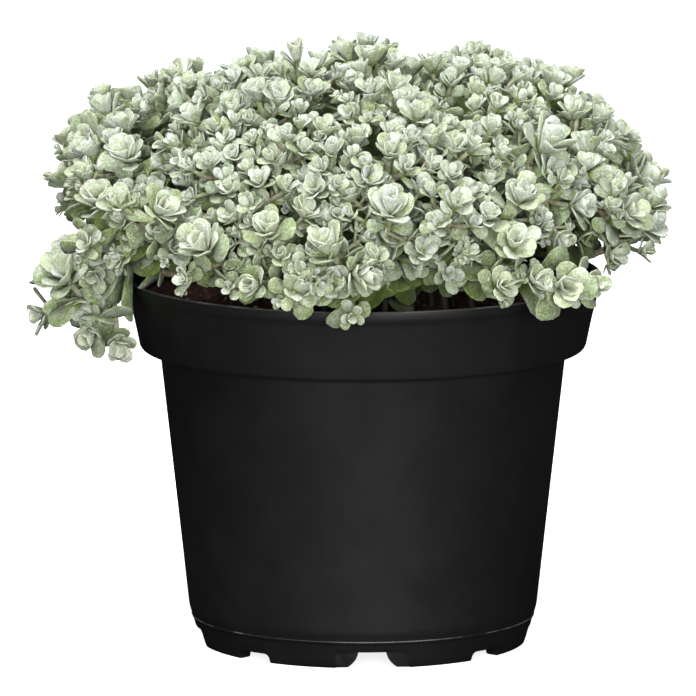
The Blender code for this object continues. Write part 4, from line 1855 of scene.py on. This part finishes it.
    @staticmethod
    def across(axis: Vector) -> Vector:
        """A level direction square to an axis.

        Args:
            axis: the axis.

        Returns:
            The unit direction; +X where the axis is upright.
        """
        side = axis.cross(Vector((0, 0, 1)))
        if side.length < 1e-4:
            side = Vector((1, 0, 0))
        return side.normalized()

    def lowness(self, spot: Vector) -> float:
        """How near the rim a point is: 1 at the rim or below it, 0 well up in the cushion."""
        return min(1.0, max(0.0, 1.0 - (spot.z - self.rim) / self.old_growth))

    def height(self, spot: Vector) -> float:
        """How high a point is: 0 at the rim or below it, 1 at the top of the cushion."""
        return min(1.0, max(0.0, (spot.z - self.rim) / (CAD_BOX[1].z - self.rim)))

    def heads(self, rosette: Rosette) -> list[Rosette]:
        """The heads one CAD rosette is made of.

        High in the cushion most shoots end in several small heads side by side; low down most end in one.

        Args:
            rosette: the one read from the CAD model.

        Returns:
            The heads, each with its own stalk, the middle one first.
        """
        if self.hanging or rosette.radius < self.split_over:
            return [rosette]
        above = max(0.0, self.height(rosette.centre) - self.split_above)
        if self.shake.random() > self.split_least + self.split_share * above:
            return [rosette]
        wide, side = rosette.radius, self.across(rosette.axis)
        count = self.shake.choice((3, 3, 4, 4))
        raised = rosette.centre + rosette.axis * wide * 0.12
        found = [Rosette(raised, rosette.axis, wide * self.middle_head, rosette.way)]
        root = rosette.way.from_tip(wide * 1.15)[0]
        turn = self.shake.uniform(0, math.tau)
        for _ in range(count):
            turn += math.tau / count * self.shake.uniform(0.85, 1.15)
            aim = self.ray(rosette.axis, side, turn)
            lower = self.shake.uniform(-0.15, 0.40)
            centre = rosette.centre + aim * wide * self.head_circle - rosette.axis * wide * lower
            if self.hits_pot(centre) or self.sticks_out(centre, wide * 0.4):
                continue
            axis = (rosette.axis + aim * 0.5 + Vector((0, 0, 0.15))).normalized()
            knee = root.lerp(centre, 0.55) + aim * wide * 0.12
            stalk = Way([root, knee, centre], *self.stalk_radii, 0.7)
            found.append(Rosette(centre, axis, wide * self.shake.uniform(*self.side_heads), stalk))
        return found

    def rosette_whorl(self, centre: Vector, axis: Vector, radius: float) -> Whorl:
        """The leaves of one rosette.

        Args:
            centre: the rosette's middle.
            axis: the way it looks.
            radius: how far its outer leaves reach.

        Returns:
            The whorl.
        """
        leaves = 7 + round(max(0.0, radius - 0.003) * 1300)
        height = self.height(centre)
        openness = self.shake.uniform(0.66, 1.12) - self.upright * height
        oldest = 1.02 + 0.2 * self.lowness(centre)
        size = radius * (1.22 + 0.14 * self.lowness(centre) + 0.16 * height)
        lean = self.across(axis) * self.shake.uniform(-0.22, 0.22) + Vector((0, 0, 0.14))
        if self.hanging:
            lean += Vector(self.light_side)
        aim = (axis + lean).normalized()
        for _ in range(7):
            tilt = YOUNG_TILT + (OLD_TILT - YOUNG_TILT) * openness * oldest
            if not self.through_wall(centre, aim, size * 1.08, tilt):
                break
            size, oldest = size * 0.9, oldest - 0.08
        place, youngest = centre + aim * radius * 0.08, self.shake.uniform(0.14, 0.50)
        spin = self.shake.uniform(0, math.tau)
        return Whorl(place, aim, self.across(aim), size, leaves, youngest, oldest, openness, spin)

    def through_wall(self, centre: Vector, aim: Vector, size: float, tilt: float) -> bool:
        """Whether the outer leaves of a rosette would pass through the pot's wall.

        Args:
            centre: the rosette's middle.
            aim: the way it looks.
            size: the length of its outer leaves.
            tilt: how far they lean out.

        Returns:
            True when some direction is blocked.
        """
        side = self.across(aim)
        for k in range(16):
            out = self.ray(aim, side, k * math.tau / 16)
            way = aim * math.cos(tilt) + out * math.sin(tilt)
            line = [centre + way * size * share for share in (0.25, 0.4, 0.55, 0.7, 0.85, 1.0)]
            if any(self.in_wall(corner, self.clear_of_wall) for corner in line):
                return True
        return False

    def stem_leaves(self, way: Way, first: float, last: float, length: float) -> list[Whorl]:
        """Single old leaves down a stem, each a golden angle on from the one before.

        Args:
            way: the stem.
            first: how far below the tip the first leaf sits, in metres.
            last: how far below the tip the last may sit.
            length: a leaf's length.

        Returns:
            One whorl for each leaf that stays clear of the pot and the soil.
        """
        found = []
        distance, turn, rank = first, self.shake.uniform(0, math.tau), 0
        last = min(last, way.length() - 0.004)
        old = self.lowness(way.points[-1])
        while distance < last:
            spot, ahead = way.from_tip(distance)
            age = min(self.leaf_ages[1], self.leaf_ages[0] + 0.14 * old + (0.05 + 0.05 * old) * rank)
            size = length * self.shake.uniform(0.80, 1.12) * (1 + 0.30 * old + 0.012 * rank)
            depth = 0.0 if self.hanging else min(1.0, distance / self.shaded_below)
            if self.hanging:
                size *= self.hanging_size
            side = self.across(ahead)
            tilt = self.shake.uniform(*self.stem_leaf_tilt)
            aim = self.ray(ahead, side, turn)
            tip = spot + (ahead * math.cos(tilt) + aim * math.sin(tilt)) * size
            if self.fits(spot, tip, ahead, size) and not self.sticks_out(tip, 0.0):
                openness = (tilt - YOUNG_TILT) / ((OLD_TILT - YOUNG_TILT) * age ** TILT_CURVE)
                found.append(Whorl(spot, ahead, side, size, 1, age, age, openness, turn, depth))
            turn += GOLDEN_ANGLE
            rank += 1
            distance += self.shake.uniform(*self.stem_leaf_gap) * (self.hanging_gap if self.hanging else 1.0)
        return found

    def fillers(self, rosette: Rosette) -> list[Rosette]:
        """Small side rosettes that grow where there is room round a large one.

        Args:
            rosette: the one they grow beside.

        Returns:
            The new rosettes with their stalks.
        """
        found: list[Rosette] = []
        side = self.across(rosette.axis)
        start = self.shake.uniform(0, math.tau)
        wanted = 1 if self.hanging else self.fillers_each
        for k in range(self.filler_tries):
            if len(found) >= wanted:
                break
            turn = start + k * GOLDEN_ANGLE
            radius = self.shake.uniform(*self.filler_sizes) + 0.0011 * self.lowness(rosette.centre)
            aim = self.ray(rosette.axis, side, turn)
            lower = self.shake.uniform(0.25, 1.1)
            centre = rosette.centre + aim * (rosette.radius * 0.95 + radius * 0.8)
            centre = centre - rosette.axis * rosette.radius * lower
            if self.hits_pot(centre - Vector((0, 0, radius * 0.8))) or centre.z < self.soil + 0.008:
                continue
            if self.sticks_out(centre, radius):
                continue
            if any((centre - other).length < self.crowding * (reach + radius) for other, reach in self.taken):
                continue
            axis = (rosette.axis * 0.85 + aim * 0.45 + Vector((0, 0, 0.12))).normalized()
            root, ahead = rosette.way.from_tip(min(0.011, rosette.way.length() * 0.7))
            base = centre + axis * radius * 0.1
            knee = root.lerp(base, 0.5) + (ahead - axis) * radius * 0.25
            way = Way([root, knee, base], *self.stalk_radii, 0.75)
            found.append(Rosette(centre, axis, radius, way))
            self.taken.append((centre, radius))
            if self.shake.random() < self.bunched:
                found += self.bunch(found[-1])
        return found

    def bunch(self, rosette: Rosette) -> list[Rosette]:
        """Tiny side buds pressed against a small rosette.

        Args:
            rosette: the small rosette.

        Returns:
            The buds, each on a stalk from the rosette's own.
        """
        side = self.across(rosette.axis)
        turn = self.shake.uniform(0, math.tau)
        buds = []
        for _ in range(self.shake.choice((2, 3, 4))):
            turn += GOLDEN_ANGLE
            radius = self.shake.uniform(*self.bud_sizes)
            aim = self.ray(rosette.axis, side, turn)
            raised = self.shake.uniform(-0.0012, 0.0006)
            centre = rosette.centre + aim * (rosette.radius * 0.75) + rosette.axis * raised
            axis = (rosette.axis + aim * 0.75).normalized()
            root = rosette.way.from_tip(0.003)[0]
            if self.hits_pot(centre) or self.sticks_out(centre, radius):
                continue
            stalk = Way([root, root.lerp(centre, 0.6), centre], *self.bud_stalk_radii, 0.8)
            buds.append(Rosette(centre, axis, radius, stalk))
        return buds

    def crosses(self, edge: bmesh.types.BMEdge) -> bool:
        """Whether an edge passes through the collar.

        Args:
            edge: the edge of a leaf.

        Returns:
            True when either end or the middle lies between the two sides of the collar.
        """
        first, last = (corner.co for corner in edge.verts)
        for spot in (first, first.lerp(last, 0.5), last):
            drop = self.rim - spot.z
            if 0 < drop < self.collar_height:
                out = self.off_axis(spot) + drop * self.collar_slope
                if self.lip_inner < out < self.lip_outer:
                    return True
        return False

    def prune(self, leaves: Item) -> int:
        """Removes each whole leaf that would pass through the pot's wall.

        Args:
            leaves: the leaves of one shoot, each a closed body of its own.

        Returns:
            How many leaves were removed.
        """
        if min(corner.co.z for corner in leaves.data.vertices) > self.rim:
            return 0
        shape = bmesh.new()
        shape.from_mesh(leaves.data)
        doomed: set[bmesh.types.BMVert] = set()
        removed = 0
        for edge in [edge for edge in shape.edges if self.crosses(edge)]:
            queue = [edge.verts[0]]
            removed += edge.verts[0] not in doomed
            while queue:
                corner = queue.pop()
                if corner not in doomed:
                    doomed.add(corner)
                    queue += [link.other_vert(corner) for link in corner.link_edges]
        bmesh.ops.delete(shape, geom=list(doomed), context="VERTS")
        shape.to_mesh(leaves.data)
        shape.free()
        return removed

    @staticmethod
    def own_part(way: Way, trunk: Way) -> Way:
        """Cuts off the part of a branch that its trunk already follows.

        Args:
            way: the branch, from the shoot's foot on.
            trunk: the trunk.

        Returns:
            The rest of the branch.
        """
        fine = trunk.smooth()
        keep = 0
        for k, spot in enumerate(way.points[:-1]):
            if min((spot - other).length for other in fine) < 0.0015:
                keep = k
        return Way(way.points[keep:], 0.00085, 0.00070, 0.55)

    def build(self) -> None:
        """Grows every shoot and hands its pieces over."""
        shoots = {node: CadShoot(node, self.pot_axis).rosettes() for node in self.nodes()}
        for rosettes in shoots.values():
            self.taken += [(rosette.centre, rosette.radius) for rosette in rosettes]
        for number, (node, rosettes) in enumerate(shoots.items()):
            self.hanging = "trailing" in node
            trunk = rosettes[0].way
            ways = [trunk] + [self.own_part(rosette.way, trunk) for rosette in rosettes[1:]]
            whorls: list[Whorl] = []
            for rosette in rosettes:
                heads = self.heads(rosette)
                whorls += [self.rosette_whorl(head.centre, head.axis, head.radius) for head in heads]
                for head in heads[1:]:
                    whorls += self.stem_leaves(head.way, head.radius * 0.6, 0.006, self.head_leaf)
                ways += [head.way for head in heads[1:]]
                covered = self.leafy_length + self.leafy_more * self.lowness(rosette.centre)
                whorls += self.stem_leaves(rosette.way, rosette.radius * 0.55, covered, self.stem_leaf)
                small = self.fillers(rosette)
                for filler in small:
                    whorls.append(self.rosette_whorl(filler.centre, filler.axis, filler.radius))
                    whorls += self.stem_leaves(filler.way, filler.radius * 0.6, 0.009, self.filler_leaf)
                ways += [filler.way for filler in small]
            label = node.removeprefix("shoot_")
            height = (rosettes[0].centre.z - self.rim) / (CAD_BOX[1].z - self.rim)
            tint = min(1.0, max(0.0, self.shake.uniform(-0.3, 0.4) + 0.8 * height))
            leaves = self.foliage.grow(f"leaves_{label}", whorls, tint, self.seed + number * 7)
            pruned = self.prune(leaves)
            Workshop.present(leaves, PieceKind.SHOOT, [node])
            Workshop.present(self.stems.grow(f"stem_{label}", ways), PieceKind.SHOOT)
            counts = (len(rosettes), len(whorls), pruned)
            LOG.info("%s: %d CAD rosettes, %d whorls, %d leaves pruned", node, *counts)
        self.foliage.put_away()


# --- Studio ---


@dataclass(frozen=True)
class SoftBox:
    """A rectangular studio light that looks at the plant. In metres and watts."""

    name: str
    place: tuple[float, float, float]
    size: tuple[float, float]
    power: float

    def build(self, target: Vector) -> None:
        """Hangs the light and aims it.

        Args:
            target: the point it looks at.
        """
        data = bpy.data.lights.new(self.name, "AREA")
        data.shape = "RECTANGLE"
        data.size, data.size_y = self.size
        data.energy = self.power
        lamp = bpy.data.objects.new(self.name, data)
        bpy.context.scene.collection.objects.link(lamp)
        lamp.location = self.place
        lamp.rotation_euler = (target - Vector(self.place)).to_track_quat("-Z", "Y").to_euler()


@dataclass
class Studio:
    """Floor, light and camera."""

    distance: float = 4.5
    elevation: float = 9.6
    field_width: float = 0.1893
    aim_height: float = 0.0805
    backdrop: float = 1.0
    fill: float = 0.012
    floor_radius: float = 3.0
    light_target: tuple[float, float, float] = (0.0, 0.0, 0.1)
    lights: tuple[SoftBox, ...] = (
        SoftBox("key", (-0.34, -0.85, 1.50), (0.45, 0.35), 19.0),
        SoftBox("front", (0.18, -1.9, 0.38), (2.5, 0.7), 56.0),
        SoftBox("top", (-0.05, -0.25, 1.5), (0.8, 0.8), 16.0),
        SoftBox("left", (-0.90, -0.30, 1.45), (0.5, 0.5), 5.0),
        SoftBox("right", (0.90, -0.30, 1.45), (0.5, 0.5), 5.0),
    )

    def camera(self) -> None:
        """A long lens that looks a little down at the front."""
        low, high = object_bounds()
        target = Vector(((low.x + high.x) / 2, (low.y + high.y) / 2, self.aim_height))
        tilt = math.radians(self.elevation)
        back = Vector((0.0, -math.cos(tilt), math.sin(tilt)))
        data = bpy.data.cameras.new("camera")
        data.sensor_width = 36.0
        data.lens = data.sensor_width * self.distance / self.field_width
        data.clip_start, data.clip_end = 0.1, 50.0
        view = bpy.data.objects.new("camera", data)
        bpy.context.scene.collection.objects.link(view)
        view.location = target + back * self.distance
        view.rotation_euler = (-back).to_track_quat("-Z", "Y").to_euler()
        bpy.context.scene.camera = view

    def world(self) -> None:
        """White behind the plant, and a weaker even light all round."""
        made = bpy.data.worlds.new("studio")
        made.use_nodes = True
        sheet = NodeSheet(made.node_tree)
        ground = made.node_tree.nodes["Background"]
        ground.inputs["Color"].default_value = (1.0, 1.0, 1.0, 1.0)
        seen = sheet.add("ShaderNodeLightPath").outputs["Is Camera Ray"]
        strength = sheet.plus(sheet.times(seen, self.backdrop - self.fill), self.fill)
        sheet.plug(ground, "Strength", strength)
        bpy.context.scene.world = made

    def floor(self) -> None:
        """A round sheet of pale paper under the pot."""
        shape = bmesh.new()
        bmesh.ops.create_circle(shape, cap_ends=True, segments=96, radius=self.floor_radius)
        paper = Workshop.object_of("floor", Workshop.mesh_of("floor", shape))
        paper.data.materials.append(StudioSurface().material())
        paper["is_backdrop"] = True

    def build(self) -> None:
        """Sets the studio up."""
        bpy.context.scene.view_settings.view_transform = "Standard"
        self.camera()
        self.world()
        self.floor()
        for light in self.lights:
            light.build(Vector(self.light_target))
        LOG.info("studio: %d lights", len(self.lights))


def write_sizes() -> None:
    """Writes the CAD box and the visual model's box."""
    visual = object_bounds()
    for corner in range(2):
        gaps = [round((visual[corner][i] - CAD_BOX[corner][i]) / MM, 2) for i in range(3)]
        LOG.info("visual box against CAD box, corner %d: %s mm", corner, gaps)


def main() -> None:
    """Builds the studio, the pot, the peat and the plant."""
    logging.basicConfig(level=logging.INFO, format="%(message)s")
    Studio().build()
    pot = NurseryPot()
    peat = PeatBed(pot.axis())
    Plant(pot.axis(), pot.rim_height(), peat.top_height()).build()
    peat.build()
    pot.build()
    write_sizes()


if __name__ == "__main__":
    main()
